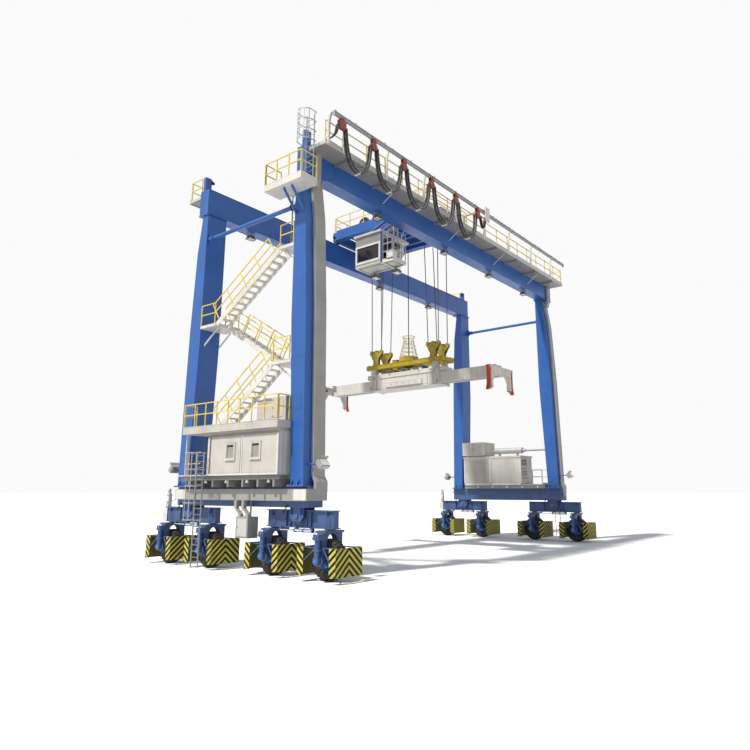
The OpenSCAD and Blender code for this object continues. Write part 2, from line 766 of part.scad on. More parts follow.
module trolley_handrails() {
  x0 = trolley_left + 30;
  x1 = trolley_right - 30;
  color(yellow) {
    for (x = [x0, x1])
      rail([x, -tw + 160, deck_z - 10], [x, tw - 160, deck_z - 10], 6);
    for (y = [-tw - 20, tw + 20])
      rail([x0 + 60, y, deck_z - 50 + gap], [x1 - 60, y, deck_z - 50 + gap], 4);
  }
}

// Operator cab, hollow, with its windows, sloped front glass and seat

cab_x0 = -6600;
cab_x1 = -3950;
cab_y1 = -1050;
cab_y0 = cab_y1 - cab_width;
cab_top = cab_bottom + 2000;

module cab_outline(e) {
  polygon([[cab_x0 + e, cab_bottom + e], [-5300 - e * 0.5, cab_bottom + e],
           [-4350 - e, cab_bottom + 1050], [-4350 - e, cab_top - 120 - e],
           [cab_x0 + e, cab_top - 120 - e]]);
}

module operator_cab() {
  color(white) {
    difference() {
      translate([0, cab_y1, 0]) rotate([90, 0, 0]) linear_extrude(cab_width) cab_outline(0);
      translate([0, cab_y1 - 60, 0]) rotate([90, 0, 0])
        linear_extrude(cab_width - 120) cab_outline(70);
      // Windows to the left, the front, the rear and the open door
      box([cab_x0 - 10, cab_y0 + 150, cab_bottom + 330], [cab_x0 + 90, cab_y1 - 150, cab_bottom + 1230]);
      box([-4450, cab_y0 + 150, cab_bottom + 1120], [-4340, cab_y1 - 150, cab_top - 300]);
      box([-6400, cab_y1 - 70, cab_bottom + 900], [-4600, cab_y1 + 10, cab_top - 300]);
      box([-6350, cab_y0 - 10, cab_bottom + 80], [-5550, cab_y0 + 70, cab_top - 200]);
      translate([-4830, 0, cab_bottom + 520]) rotate([0, 48, 0])
        translate([-620, cab_y0 + 150, -180]) cube([1060, cab_width - 300, 360]);
    }
    // Roof plate
    box([cab_x0 - 100, cab_y0 - 90, cab_top - 125], [cab_x1, cab_y1 + 90, cab_top]);
  }
  color(black) {
    box([cab_x0 + 20, cab_y0 + 140, cab_bottom + 320], [cab_x0 + 35, cab_y1 - 140, cab_bottom + 1240]);
    box([-5900, -2300, cab_bottom + 60], [-5500, -1800, cab_bottom + 560]);
    box([-6050, -2350, cab_bottom + 400], [-5900, -1750, cab_bottom + 1250]);
  }
}

module cab_landing() {
  z = cab_bottom;
  y0 = cab_y0 - 900;
  color(white) {
    box([cab_x0 + 50, y0, z], [-5350, cab_y0, z + 60]);
    box([cab_x0 + 60, y0 + 40, z + 55], [cab_x0 + 420, y0 + 500, z + 500]);
    box([cab_x0 + 50, y0, z + 55], [cab_x0 + 75, cab_y0, z + 170]);
  }
  color(steel) {
    rail([cab_x0 + 80, y0 + 30, z + 55], [-5380, y0 + 30, z + 55], 2, [0, 0, 1000], 36);
    rail([cab_x0 + 80, y0 + 30, z + 55], [cab_x0 + 80, cab_y0 - 90, z + 55], 1, [0, 0, 1000], 36);
    // Ladder up to the trolley deck
    for (x = [-5750, -5350]) box([x - 18, cab_y0 - 330, z + 50], [x + 18, cab_y0 - 270, deck_z + 900]);
    for (zz = [z + 300 : 280 : deck_z + 800])
      rod([-5750, cab_y0 - 300, zz], [-5350, cab_y0 - 300, zz], 26);
    for (x = [-5750, -5350])
      box([x - 18, cab_y0 - 330, deck_z - 240], [trolley_left, cab_y0 - 270, deck_z - 200]);
    // Two floodlights below
    for (p = [[-5450, -1650], [-5450, -3250]]) {
      translate([p[0], p[1], cab_bottom - 420]) {
        translate([-230, -170, 0]) cube([460, 340, 180]);
        translate([-30, -30, 170]) cube([60, 60, 250]);
      }
    }
  }
}

// Arm that tows the festoon, with the last carrier

module towing_arm() {
  color(white) {
    box([600, track_y - 165, track_z + 330], [760, -tw - 140, track_z + 450]);
    slab_xz(track_y - 170, track_y - 120, [[420, track_z - 560], [900, track_z - 560], [960, track_z - 100],
      [960, track_z + 450], [420, track_z + 450]]);
    box([560, -tw - 400, deck_z - 200], [800, -tw - 130, track_z + 450]);
  }
  carrier(towed_x);
  color(red) {
    box([towed_x + 230, track_y - 90, track_z - 420], [520, track_y - 60, track_z - 340]);
    box([430, track_y - 125, track_z - 420], [520, track_y - 65, track_z - 340]);
  }
}

// Hoist ropes and the cable that falls into the basket

module hoist_ropes() {
  r = sheave_diameter / 2;
  z1 = rail_top + 276;
  color(black) {
    for (sx = [-1, 1]) for (sy = [-1, 1]) {
      x = hoist_x + sx * 520;
      rod([x, sy * (2350 + r), block_z], [x, sy * (2350 + r + 60), z1], rope_diameter);
      rod([x, sy * (2350 - r), block_z], [x, sy * (2350 - r - 230), z1], rope_diameter);
    }
    rod([hoist_x, 0, block_z], [hoist_x, 0, z1], 60);
  }
}

// Headblock: frame, four sheave blocks and the cable basket

module sheave_block(x, y) {
  r = sheave_diameter / 2;
  color(mustard) for (s = [-1, 1]) translate([x + s * 95 - 15, y, block_z]) rotate([90, 0, 90])
    linear_extrude(30) union() {
      circle(r = r * 0.8);
      translate([-r * 0.55, -block_z + frame_z + 290]) square([r * 1.1, block_z - frame_z - 290]);
      for (e = [-1, 1]) translate([e * r, r * 0.72]) circle(r = 115);
      for (e = [-1, 1]) translate([e * r * 0.72, 0]) rotate(e * -38)
        translate([-90, -60]) square([180, r * 0.95]);
    }
  color(mustard) for (e = [-1, 1])
    x_cyl(x - 90, x + 90, y + e * (r + 70), block_z + r * 0.72 + 20, 60);
  color(black) {
    x_cyl(x - 55, x + 55, y, block_z, 2 * r - 30);
    x_cyl(x - 100, x + 100, y, block_z, 150);
  }
}

module headblock() {
  color(mustard) {
    for (s = [-1, 1])
      box([hoist_x + s * 520 - 130, -3150, frame_z], [hoist_x + s * 520 + 130, 3150, frame_z + 300]);
    for (y = [-3150, -1900, -750, 550, 1700, 2950])
      box([hoist_x - 520, y, frame_z + 30], [hoist_x + 520, y + 200, frame_z + 270]);
    box([hoist_x - 400, -700, frame_z + 200], [hoist_x + 400, 700, frame_z + 320]);
    // Cable basket
    difference() {
      translate([hoist_x, 0, frame_z + 300]) cylinder(d = 1300, h = 330);
      translate([hoist_x, 0, frame_z + 340]) cylinder(d = 1240, h = 400);
    }
    for (a = [0 : 30 : 330])
      translate([hoist_x, 0, frame_z]) rotate([0, 0, a]) slab_xz(-8, 8, [
        [626, 590], [320, 1795], [391, 2070], [409, 2070], [339, 1795], [644, 590]]);
    for (k = [[560, 880], [490, 1160], [420, 1440], [352, 1710], [400, 2070]])
      translate([hoist_x, 0, frame_z + k[1] - 14]) difference() {
        cylinder(r = k[0] + 15, h = 28);
        translate([0, 0, -1]) cylinder(r = k[0] - 15, h = 30);
      }
  }
  // The coiled cable in the basket
  color(black) {
    translate([hoist_x, 0, frame_z + 335]) difference() {
      cylinder(r = 560, h = 125);
      translate([0, 0, -1]) cylinder(r = 330, h = 127);
    }
    translate([hoist_x, 0, frame_z + 335]) cylinder(d = 60, h = block_z - frame_z - 336);
  }
  for (sx = [-1, 1]) for (sy = [-1, 1]) sheave_block(hoist_x + sx * 520, sy * 2350);
}

// Spreader body, open from end to end for the telescopic arms

module spreader_body() {
  color(white) {
    difference() {
      box([hoist_x - 600, -2780, arm_z - 80], [hoist_x + 600, 2780, arm_z + arm_h + 40]);
      box([hoist_x - 525, -2800, arm_z - 10], [hoist_x + 525, 2800, arm_z + arm_h + 10]);
    }
    box([hoist_x - 560, -3100, arm_z + arm_h + 35], [hoist_x + 560, 3100, arm_z + arm_h + 330]);
    for (y = [-2500, 2500]) for (s = [-1, 1])
      slab_xz(y - 160, y + 160, [
        [hoist_x + s * 520 - 260, arm_z + arm_h + 325], [hoist_x + s * 520 + 260, arm_z + arm_h + 325],
        [hoist_x + s * 520 + 120, frame_z], [hoist_x + s * 520 - 120, frame_z]]);
    for (y = [-2780, 2600]) {
      box([hoist_x - 680, y, arm_z - 120], [hoist_x - 595, y + 180, arm_z + arm_h + 200]);
      box([hoist_x + 595, y, arm_z - 120], [hoist_x + 680, y + 180, arm_z + arm_h + 200]);
    }
    for (s = [-1, 1]) box([hoist_x + s * 640 - 45, -1500, arm_z + 60], [hoist_x + s * 640 + 45, 1500, arm_z + 420]);
  }
}

// Telescopic end: two arms, the end beam and the lock housings at its corners

lock_y = lock_length / 2;

module telescope(s) {
  arms = s < 0 ? [-510, 20] : [-240, 290];
  color(white) {
    for (x = arms)
      box([hoist_x + x, s < 0 ? -lock_y : 1500, arm_z], [hoist_x + x + 220, s < 0 ? -1500 : lock_y, arm_z + arm_h]);
    box([hoist_x - 1220, s * lock_y - 110, arm_z + 60], [hoist_x + 1220, s * lock_y + 110, arm_z + 560]);
    for (e = [-1, 1]) {
      box([hoist_x + e * 1130 - 115, s * lock_y - 105, corner_plane],
          [hoist_x + e * 1130 + 115, s * lock_y + 105, arm_z + 100]);
      slab_xz(s * lock_y - 40, s * lock_y + 40, [
        [hoist_x + e * 1020, corner_plane + 250], [hoist_x + e * 1020, arm_z + 65],
        [hoist_x + e * 600, arm_z + 65]]);
    }
    box([hoist_x - 500, s * (lock_y - 260) - 160, arm_z + arm_h - 30],
        [hoist_x + 500, s * (lock_y - 260) + 160, arm_z + arm_h]);
  }
}

module telescope_front() { telescope(-1); }
module telescope_rear() { telescope(1); }

// Corner flipper that hangs outside the end beam

module flipper(ex, sy) {
  x = hoist_x + ex * 1345;
  y = sy * lock_y;
  h = arm_z + 450;
  color(orange) {
    translate([0, y, 0]) slab_xz(-120, 120, [
      [x - ex * 50, h + 100], [x + ex * 60, h + 100], [x + ex * 60, corner_plane + 250],
      [x + ex * 190, corner_plane - 160], [x + ex * 160, corner_plane - 180],
      [x + ex * 10, corner_plane + 60], [x - ex * 50, corner_plane + 240]]);
    translate([x, y, h]) rotate([90, 0, 0]) cylinder(d = 220, h = 250, center = true);
  }
}

module flipper_front_left() { flipper(-1, -1); }
module flipper_front_right() { flipper(1, -1); }
module flipper_rear_left() { flipper(-1, 1); }
module flipper_rear_right() { flipper(1, 1); }

// Equaliser beam of a bogie with its kingpin housings

module equaliser(x, y) {
  color(blue) translate([x, y, 0]) difference() {
    union() {
      slab_yz(-150, 150, [[-2030, 2090], [2030, 2090], [2030, 2800], [-2030, 2800]]);
      box([-250, -2050, 2080], [250, 2050, 2120]);
      for (s = [-1, 1]) {
        box([-250, s > 0 ? 430 : -2050, 2790], [250, s > 0 ? 2050 : -430, 2830]);
        translate([0, s * wheel_pitch / 2, 2050]) cylinder(d = 460, h = 500);
        box([-245, s * wheel_pitch / 2 - 15, 2100], [245, s * wheel_pitch / 2 + 15, 2800]);
        box([-245, s * 760 - 10, 2100], [245, s * 760 + 10, 2800]);
      }
      x_cyl(-200, 200, 0, pivot_z, 420);
      // Steering cylinder
      translate([-370, 0, 0]) {
        rod([0, -1040, 1990], [0, 60, 1990], 150);
        rod([0, 50, 1990], [0, 1040, 1990], 70);
      }
      for (yy = [-960, -40, 900]) box([-400, yy, 2000 + 45], [-200, yy + 60, 2115]);
      box([-400, 900, 1960], [-340, 960, 2115]);
    }
    x_cyl(-300, 300, 0, pivot_z, 200);
    for (s = [-1, 1]) translate([0, s * wheel_pitch / 2, 2040]) cylinder(d = 262, h = 470);
  }
}

// White sensor post behind the end of a rear equaliser
module sensor_post(x, y) {
  color(white) translate([x, y, 0]) {
    box([-180, 2050, 2120], [180, 2440, 2700]);
    box([-110, 2120, 2700], [110, 2340, 3450]);
    translate([0, 2230, 3450]) cylinder(d = 300, h = 60);
    translate([0, 2230, 3510]) cylinder(d = 180, h = 240);
  }
}

module equaliser_front_left() { equaliser(-hx, -by); }
module equaliser_front_right() { equaliser(hx, -by); }
module equaliser_rear_left() {
  equaliser(-hx, by);
  sensor_post(-hx, by);
}
module equaliser_rear_right() {
  equaliser(hx, by);
  sensor_post(hx, by);
}

// Steering fork with its drive unit and guards

fork_gap = tyre_width / 2 + 60;
guard_y = 1080;

module drive_unit(hw) {
  xm = -hw - 130;
  box([-hw - 250, -165, 1650], [-hw, 165, 1890]);
  translate([xm, 0, 1285]) cylinder(d = 230, h = 370);
  box([-hw - 240, -190, 1230], [-hw, 190, 1290]);
  translate([xm, 0, 980]) cylinder(d = 250, h = 255);
  x_cyl(-hw - 230, -hw, 0, axle_z, 320);
  x_cyl(-hw - 60, -hw, 0, axle_z, 460);
}

// One guard: a plate across the wheel with its two folded wings
module guard(s) {
  w = guard_width / 2;
  z0 = 250;
  z1 = 250 + guard_height;
  box([-w, s * guard_y - 7, z0], [w, s * guard_y + 7, z1]);
  for (e = [-1, 1])
    box([e * (w - 7) - 7, s > 0 ? guard_y - 350 : -guard_y, z0],
        [e * (w - 7) + 7, s > 0 ? guard_y : -guard_y + 350, z1]);
}

module fork(x, y) {
  hw = fork_width / 2;
  zb = 225 + guard_height;
  translate([x, y, 0]) {
    color(blue) {
      difference() {
        union() {
          box([-hw, -150, axle_z - 120], [hw, 150, yoke_top]);
          box([-hw, -260, yoke_top - 90], [hw, 260, yoke_top]);
          x_cyl(-hw, -fork_gap + 5, 0, axle_z, 420);
          x_cyl(fork_gap - 5, hw, 0, axle_z, 420);
          x_cyl(hw, hw + 70, 0, axle_z, 380);
          drive_unit(hw);
        }
        box([-fork_gap, -400, 0], [fork_gap, 400, yoke_top - 430]);
        translate([0, -400, yoke_top - 430]) rotate([-90, 0, 0]) cylinder(r = fork_gap, h = 800);
        x_cyl(-hw - 5, hw + 5, 0, axle_z, 176);
      }
      translate([0, 0, yoke_top - 5]) cylinder(d = 240, h = 445);
      for (e = [-1, 1]) {
        box([e * (hw + 22) - 23, -guard_y, zb - 22], [e * (hw + 22) + 23, guard_y, zb + 23]);
        for (s = [-1, 1]) {
          box([-guard_width / 2 + 10, s * (guard_y - 25) - 20, zb - 20],
              [guard_width / 2 - 10, s * (guard_y - 25) + 20, zb + 20]);
          bar([e * (hw + 20), s * 190, zb], [e * (guard_width / 2 - 20), s * (guard_y - 335), zb - 520], 40);
        }
      }
    }
    color(mustard) for (s = [-1, 1]) guard(s);
  }
}

iy = by - wheel_pitch / 2;
oy = by + wheel_pitch / 2;

module fork_front_left_outer() { fork(-hx, -oy); }
module fork_front_left_inner() { fork(-hx, -iy); }
module fork_front_right_outer() { fork(hx, -oy); }
module fork_front_right_inner() { fork(hx, -iy); }
module fork_rear_left_outer() { fork(-hx, oy); }
module fork_rear_left_inner() { fork(-hx, iy); }
module fork_rear_right_outer() { fork(hx, oy); }
module fork_rear_right_inner() { fork(hx, iy); }

// Wheel: tyre, rim and axle

module wheel(x, y) {
  r = tyre_diameter / 2;
  w = tyre_width / 2;
  translate([x, y, axle_z]) rotate([0, 90, 0]) {
    color(black) rotate_extrude() polygon([
      [430, -w + 80], [520, -w + 25], [640, -w], [r - 90, -w + 5], [r - 25, -w + 35], [r, -w + 100],
      [r, w - 100], [r - 25, w - 35], [r - 90, w - 5], [640, w], [520, w - 25], [430, w - 80]]);
    color(blue) {
      rotate_extrude() polygon([[390, -w + 65], [436, -w + 65], [436, w - 65], [390, w - 65]]);
      rotate_extrude() polygon([[60, -110], [200, -110], [395, 20], [395, 60], [200, -60], [60, -60]]);
      cylinder(d = 360, h = 2 * fork_gap - 50, center = true);
      cylinder(d = 160, h = fork_width - 40, center = true);
    }
  }
}

module wheel_front_left_outer() { wheel(-hx, -oy); }
module wheel_front_left_inner() { wheel(-hx, -iy); }
module wheel_front_right_outer() { wheel(hx, -oy); }
module wheel_front_right_inner() { wheel(hx, -iy); }
module wheel_rear_left_outer() { wheel(-hx, oy); }
module wheel_rear_left_inner() { wheel(-hx, iy); }
module wheel_rear_right_outer() { wheel(hx, oy); }
module wheel_rear_right_inner() { wheel(hx, iy); }

legs_left();
legs_right();
sill_beam_left();
sill_beam_right();
girder_front();
girder_rear();
portal_ties();
walkways();
handrails();
stairs();
access_ladder();
top_ladder();
plain_ladders();
top_platform();
electric_house();
generator_house();
floodlights();
cable_ducts();
festoon_track();
festoon_cables();
trolley_frame();
trolley_machinery();
trolley_handrails();
hoist_drum();
operator_cab();
cab_landing();
towing_arm();
hoist_ropes();
headblock();
spreader_body();
telescope_front();
telescope_rear();
flipper_front_left();
flipper_front_right();
flipper_rear_left();
flipper_rear_right();
festoon_carrier_1();
festoon_carrier_2();
festoon_carrier_3();
festoon_carrier_4();
equaliser_front_left();
equaliser_front_right();
equaliser_rear_left();
equaliser_rear_right();
fork_front_left_outer();
fork_front_left_inner();
fork_front_right_outer();
fork_front_right_inner();
fork_rear_left_outer();
fork_rear_left_inner();
fork_rear_right_outer();
fork_rear_right_inner();
wheel_front_left_outer();
wheel_front_left_inner();
wheel_front_right_outer();
wheel_front_right_inner();
wheel_rear_left_outer();
wheel_rear_left_inner();
wheel_rear_right_outer();
wheel_rear_right_inner();
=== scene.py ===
"""Looks of a rubber tyred gantry crane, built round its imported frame.

Lengths are in metres. X is the span, Y is the gantry travel and Z is up.
"""

import math
from itertools import product

import bpy
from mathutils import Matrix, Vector


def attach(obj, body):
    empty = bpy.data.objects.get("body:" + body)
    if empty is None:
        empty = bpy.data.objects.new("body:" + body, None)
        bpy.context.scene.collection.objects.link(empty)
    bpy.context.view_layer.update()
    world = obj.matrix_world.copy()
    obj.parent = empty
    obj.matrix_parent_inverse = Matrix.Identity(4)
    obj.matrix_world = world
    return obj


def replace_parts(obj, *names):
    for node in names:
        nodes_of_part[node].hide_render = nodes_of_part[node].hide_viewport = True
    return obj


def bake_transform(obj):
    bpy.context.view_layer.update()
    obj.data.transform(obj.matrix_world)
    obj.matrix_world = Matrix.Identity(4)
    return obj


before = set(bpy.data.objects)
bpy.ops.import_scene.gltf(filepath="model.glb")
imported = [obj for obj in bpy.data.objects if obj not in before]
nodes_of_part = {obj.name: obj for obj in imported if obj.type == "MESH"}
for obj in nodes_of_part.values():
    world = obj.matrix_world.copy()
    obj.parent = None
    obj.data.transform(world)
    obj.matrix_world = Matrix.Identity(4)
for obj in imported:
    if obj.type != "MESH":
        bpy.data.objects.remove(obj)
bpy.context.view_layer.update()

# Camera of the photograph, in metres and in pixels of its 750 pixel frame
CAMERA_PLACE = (-33.516, -24.678, 3.644)
CAMERA_YAW = 51.90
CAMERA_PITCH = 12.74
FOCAL_PIXELS = 635.05
FRAME_PIXELS = 750
CENTRE_PIXEL = (389.07, 347.18)

# Driving sizes of the part. HX: half the span between the legs; BY: bogie pivot from the middle;
# HALF_PITCH: wheel from its pivot; LEG_OUTER: (height, distance) along the outer edge of a leg
HX = 13.25
BY = 3.96
HALF_PITCH = 1.685
LEG_IN = 3.5
LEG_FOOT = 3.88
LEG_KNEE = 11.5
LEG_OUTER = ((3.88, 4.58), (12.0, 4.44), (16.5, 4.24), (18.66, 3.95))
SILL_END = 4.75
SILL_BOTTOM, SILL_TOP = 2.93, 3.82
GIRDER_BOTTOM, GIRDER_TOP = 18.72, 20.2
GIRDER_Y = 3.92
GIRDER_END = 13.9
WALK_IN, WALK_OUT = 4.29, 5.4
WALK_END = 13.85
FLOOR_Z = 20.0
DECK_Z = 21.15
TRACK_Y, TRACK_Z = -5.85, 21.2
HOIST_X = 0.1
BLOCK_Z = 12.65
ROPE_TOP = 20.606
TYRE_R, TYRE_W = 0.85, 0.5
GUARD_Y = 1.08
SPREADER_END = 6.755
RAIL_Y = 3.83
SHEAVE_Y = 2.35
CAB_FLOOR = 16.5

CORNERS = [("front_left", -1, -1), ("front_right", 1, -1), ("rear_left", -1, 1), ("rear_right", 1, 1)]
SIDES = (-1, 1)
QUARTERS = list(product(SIDES, SIDES))
UP, DOWN = (0, 0, 1), (0, 0, -1)
ALONG_X, ALONG_Y, FORWARD, LEFTWARD = (1, 0, 0), (0, 1, 0), (0, -1, 0), (-1, 0, 0)


class Graph:
    """A principled material and short ways to add nodes to it."""

    def __init__(self, name, colour, rough=0.5, metal=0.0):
        self.material = bpy.data.materials.new(name)
        self.material.use_nodes = True
        self.tree = self.material.node_tree
        self.shader = self.tree.nodes["Principled BSDF"]
        self.shader.inputs["Base Color"].default_value = (*colour, 1)
        self.shader.inputs["Roughness"].default_value = rough
        self.shader.inputs["Metallic"].default_value = metal
        self.place = self.add("ShaderNodeTexCoord").outputs["Object"]

    def add(self, kind, **values):
        """A new node with the given settings."""
        node = self.tree.nodes.new(kind)
        for key, value in values.items():
            setattr(node, key, value)
        return node

    def link(self, output, socket):
        self.tree.links.new(output, socket)

    def put(self, value, socket):
        """Links an output to a socket, or sets a plain value there."""
        if isinstance(value, bpy.types.NodeSocket):
            self.link(value, socket)
        else:
            socket.default_value = value

    def stretched(self, scale):
        """Object coordinates, scaled on each axis."""
        node = self.add("ShaderNodeMapping")
        node.inputs["Scale"].default_value = scale
        self.link(self.place, node.inputs["Vector"])
        return node.outputs["Vector"]

    def noise(self, scale, detail=4.0, stretch=(1, 1, 1)):
        """Cloudy pattern from 0 to 1."""
        node = self.add("ShaderNodeTexNoise")
        node.inputs["Scale"].default_value = scale
        node.inputs["Detail"].default_value = detail
        self.link(self.stretched(stretch), node.inputs["Vector"])
        return node.outputs["Fac"]

    def math(self, operation, a, b=0.0, c=0.0):
        """One sum of values or outputs."""
        node = self.add("ShaderNodeMath", operation=operation)
        for value, socket in zip((a, b, c), node.inputs):
            self.put(value, socket)
        return node.outputs[0]

    def band(self, value, low, high, out_low=0.0, out_high=1.0):
        """A value mapped from one range to another."""
        node = self.add("ShaderNodeMapRange")
        for name, number in (("From Min", low), ("From Max", high), ("To Min", out_low),
                             ("To Max", out_high)):
            node.inputs[name].default_value = number
        self.put(value, node.inputs["Value"])
        return node.outputs["Result"]

    def mix(self, share, a, b, kind="MIX"):
        """Blend of two colours."""
        node = self.add("ShaderNodeMix", data_type="RGBA", blend_type=kind)
        self.put(share, node.inputs["Factor"])
        for value, name in ((a, "A"), (b, "B")):
            socket = [s for s in node.inputs if s.name == name and s.type == "RGBA"][0]
            self.put(value if isinstance(value, bpy.types.NodeSocket) else (*value, 1), socket)
        return [s for s in node.outputs if s.type == "RGBA"][0]

    def xyz(self):
        """The three object coordinates."""
        node = self.add("ShaderNodeSeparateXYZ")
        self.link(self.place, node.inputs[0])
        return node.outputs

    def facing_up(self):
        """How far a face looks up, 1 for a top face."""
        node = self.add("ShaderNodeSeparateXYZ")
        self.link(self.add("ShaderNodeNewGeometry").outputs["Normal"], node.inputs[0])
        return node.outputs["Z"]

    def bump(self, height, strength, distance=0.01):
        """Small relief of the surface."""
        node = self.add("ShaderNodeBump")
        node.inputs["Strength"].default_value = strength
        node.inputs["Distance"].default_value = distance
        self.link(height, node.inputs["Height"])
        self.link(node.outputs["Normal"], self.shader.inputs["Normal"])

    def colour(self, value):
        self.link(value, self.shader.inputs["Base Color"])

    def rough(self, value):
        self.link(value, self.shader.inputs["Roughness"])


def shade(colour, factor):
    """A lighter or darker colour."""
    return tuple(min(1.0, c * factor) for c in colour)


def paint(name, colour, rough, grime):
    """Sprayed steel: soft patches, rain streaks, dust on top faces and a light orange peel."""
    g = Graph(name, colour, rough)
    patches = g.band(g.noise(0.9, 5), 0.3, 0.7)
    base = g.mix(patches, shade(colour, 0.90), shade(colour, 1.08))
    streaks = g.band(g.noise(3.2, 4, (1, 1, 0.09)), 0.56, 0.80, 0, grime)
    base = g.mix(streaks, base, shade(colour, 0.55))
    specks = g.band(g.noise(16, 3), 0.70, 0.78, 0, grime * 0.8)
    base = g.mix(specks, base, shade(colour, 0.45))
    on_top = g.math("MULTIPLY", g.band(g.facing_up(), 0.6, 0.95),
                    g.band(g.noise(2.1, 4), 0.35, 0.75, 0.0, 0.35))
    g.colour(g.mix(on_top, base, (0.42, 0.40, 0.36)))
    g.rough(g.band(g.noise(5, 4), 0.3, 0.7, rough - 0.08, rough + 0.12))
    g.bump(g.noise(70, 2), 0.05, 0.004)
    return g.material


def galvanised(name, colour):
    """Zinc coated steel with its pale crystals and dull stains."""
    g = Graph(name, colour, 0.5, 0.55)
    cells = g.add("ShaderNodeTexVoronoi")
    cells.inputs["Scale"].default_value = 22
    g.link(g.place, cells.inputs["Vector"])
    spangle = g.add("ShaderNodeSeparateColor")
    g.link(cells.outputs["Color"], spangle.inputs[0])
    base = g.mix(g.band(spangle.outputs[0], 0, 1, 0, 0.5), colour, shade(colour, 0.72))
    stains = g.band(g.noise(2.5, 5, (1, 1, 0.3)), 0.5, 0.8, 0, 0.5)
    g.colour(g.mix(stains, base, shade(colour, 0.55)))
    g.rough(g.band(g.noise(9, 3), 0.3, 0.7, 0.38, 0.6))
    g.bump(spangle.outputs[0], 0.06, 0.002)
    return g.material


def bare_steel(name, colour, rough):
    """Worn or turned steel with fine scratches."""
    g = Graph(name, colour, rough, 1.0)
    scratches = g.noise(30, 3, (1, 14, 1))
    g.colour(g.mix(g.band(scratches, 0.35, 0.7), shade(colour, 0.75), colour))
    g.rough(g.band(g.noise(12, 4), 0.3, 0.7, rough * 0.75, rough * 1.3))
    g.bump(scratches, 0.08, 0.002)
    return g.material


def rubber(name, colour, rough=0.8):
    """Dusty black rubber, a little brown where dirt sits."""
    g = Graph(name, colour, rough)
    dirt = g.band(g.noise(3.5, 6), 0.45, 0.75, 0, 0.45)
    base = g.mix(dirt, colour, (0.10, 0.085, 0.065))
    g.colour(g.mix(g.band(g.noise(40, 3), 0.5, 0.9, 0, 0.4), base, shade(colour, 0.5)))
    g.rough(g.band(g.noise(8, 3), 0.3, 0.7, rough - 0.12, rough + 0.1))
    g.bump(g.noise(90, 3), 0.25, 0.003)
    return g.material


def wire_rope(name):
    """Laid strands drawn as fine slanted bands along a steep rope."""
    g = Graph(name, (0.11, 0.11, 0.115), 0.45, 0.7)
    x, _, z = g.xyz()[:3]
    lay = g.math("SINE", g.math("ADD", g.math("MULTIPLY", z, 160.0), g.math("MULTIPLY", x, 220.0)))
    g.colour(g.mix(g.band(lay, -1, 1), (0.035, 0.035, 0.035), (0.19, 0.19, 0.19)))
    g.bump(lay, 0.5, 0.006)
    return g.material


def glass(name):
    """Dark cab glass: nearly clear, with a sheen of dust."""
    g = Graph(name, (0.025, 0.03, 0.032), 0.07)
    film = g.band(g.noise(6, 4), 0.4, 0.8, 0.0, 0.3)
    g.colour(g.mix(film, (0.010, 0.012, 0.014), (0.035, 0.038, 0.040)))
    g.rough(g.band(g.noise(11, 3), 0.3, 0.7, 0.05, 0.16))
    g.shader.inputs["Specular IOR Level"].default_value = 0.45
    g.shader.inputs["Coat Weight"].default_value = 0.15
    return g.material


def lamp_glass(name):
    """Ribbed lens of a floodlight over its mirror-like reflector."""
    g = Graph(name, (0.85, 0.83, 0.76), 0.2, 0.85)
    ribs = g.math("SINE", g.math("MULTIPLY", g.xyz()["X"], 190.0))
    g.colour(g.mix(g.band(ribs, -1, 1), (0.62, 0.60, 0.55), (0.92, 0.90, 0.84)))
    g.bump(ribs, 0.3, 0.006)
    return g.material


def hazard(name, centre):
    """Black and yellow bands: chevrons on the two wide faces, slanted bands on the wings."""
    wing_at, slant, pitch, yellow_share = 0.8145, 0.88, 0.285, 0.52
    g = Graph(name, (0.70, 0.60, 0.10), 0.5)
    x, y, z = g.xyz()[:3]
    sideways = g.math("ABSOLUTE", g.math("SUBTRACT", x, centre[0]))
    on_wing = g.math("GREATER_THAN", sideways, wing_at)
    run = g.math("ABSOLUTE", g.math("SUBTRACT", y, centre[1]))
    chevron = g.math("ADD", g.math("MULTIPLY", sideways, slant), z)
    wing = g.math("SUBTRACT", z, g.math("MULTIPLY", run, slant))
    way = g.add("ShaderNodeMix", data_type="FLOAT")
    g.link(on_wing, way.inputs["Factor"])
    floats = [s for s in way.inputs if s.type == "VALUE" and s.name in ("A", "B")]
    g.link(chevron, floats[0])
    g.link(wing, floats[1])
    phase = g.math("FRACT", g.math("DIVIDE", way.outputs[0], pitch))
    dark = g.math("GREATER_THAN", phase, yellow_share)
    yellow = g.mix(g.band(g.noise(2.2, 5), 0.35, 0.7), (0.54, 0.47, 0.08), (0.70, 0.62, 0.12))
    base = g.mix(dark, yellow, (0.007, 0.007, 0.007))
    dirt = g.band(g.math("ADD", g.noise(5, 5), g.band(z, 0.25, 0.7, 0.25, 0.0)), 0.55, 0.95, 0, 0.35)
    base = g.mix(dirt, base, (0.06, 0.054, 0.04))
    chips = g.band(g.noise(28, 2), 0.70, 0.75)
    g.colour(g.mix(g.math("MULTIPLY", chips, 0.7), base, (0.16, 0.15, 0.13)))
    g.rough(g.band(g.noise(7, 3), 0.3, 0.7, 0.4, 0.65))
    g.bump(g.noise(24, 3), 0.12, 0.004)
    g.shader.inputs["Specular IOR Level"].default_value = 0.12
    return g.material


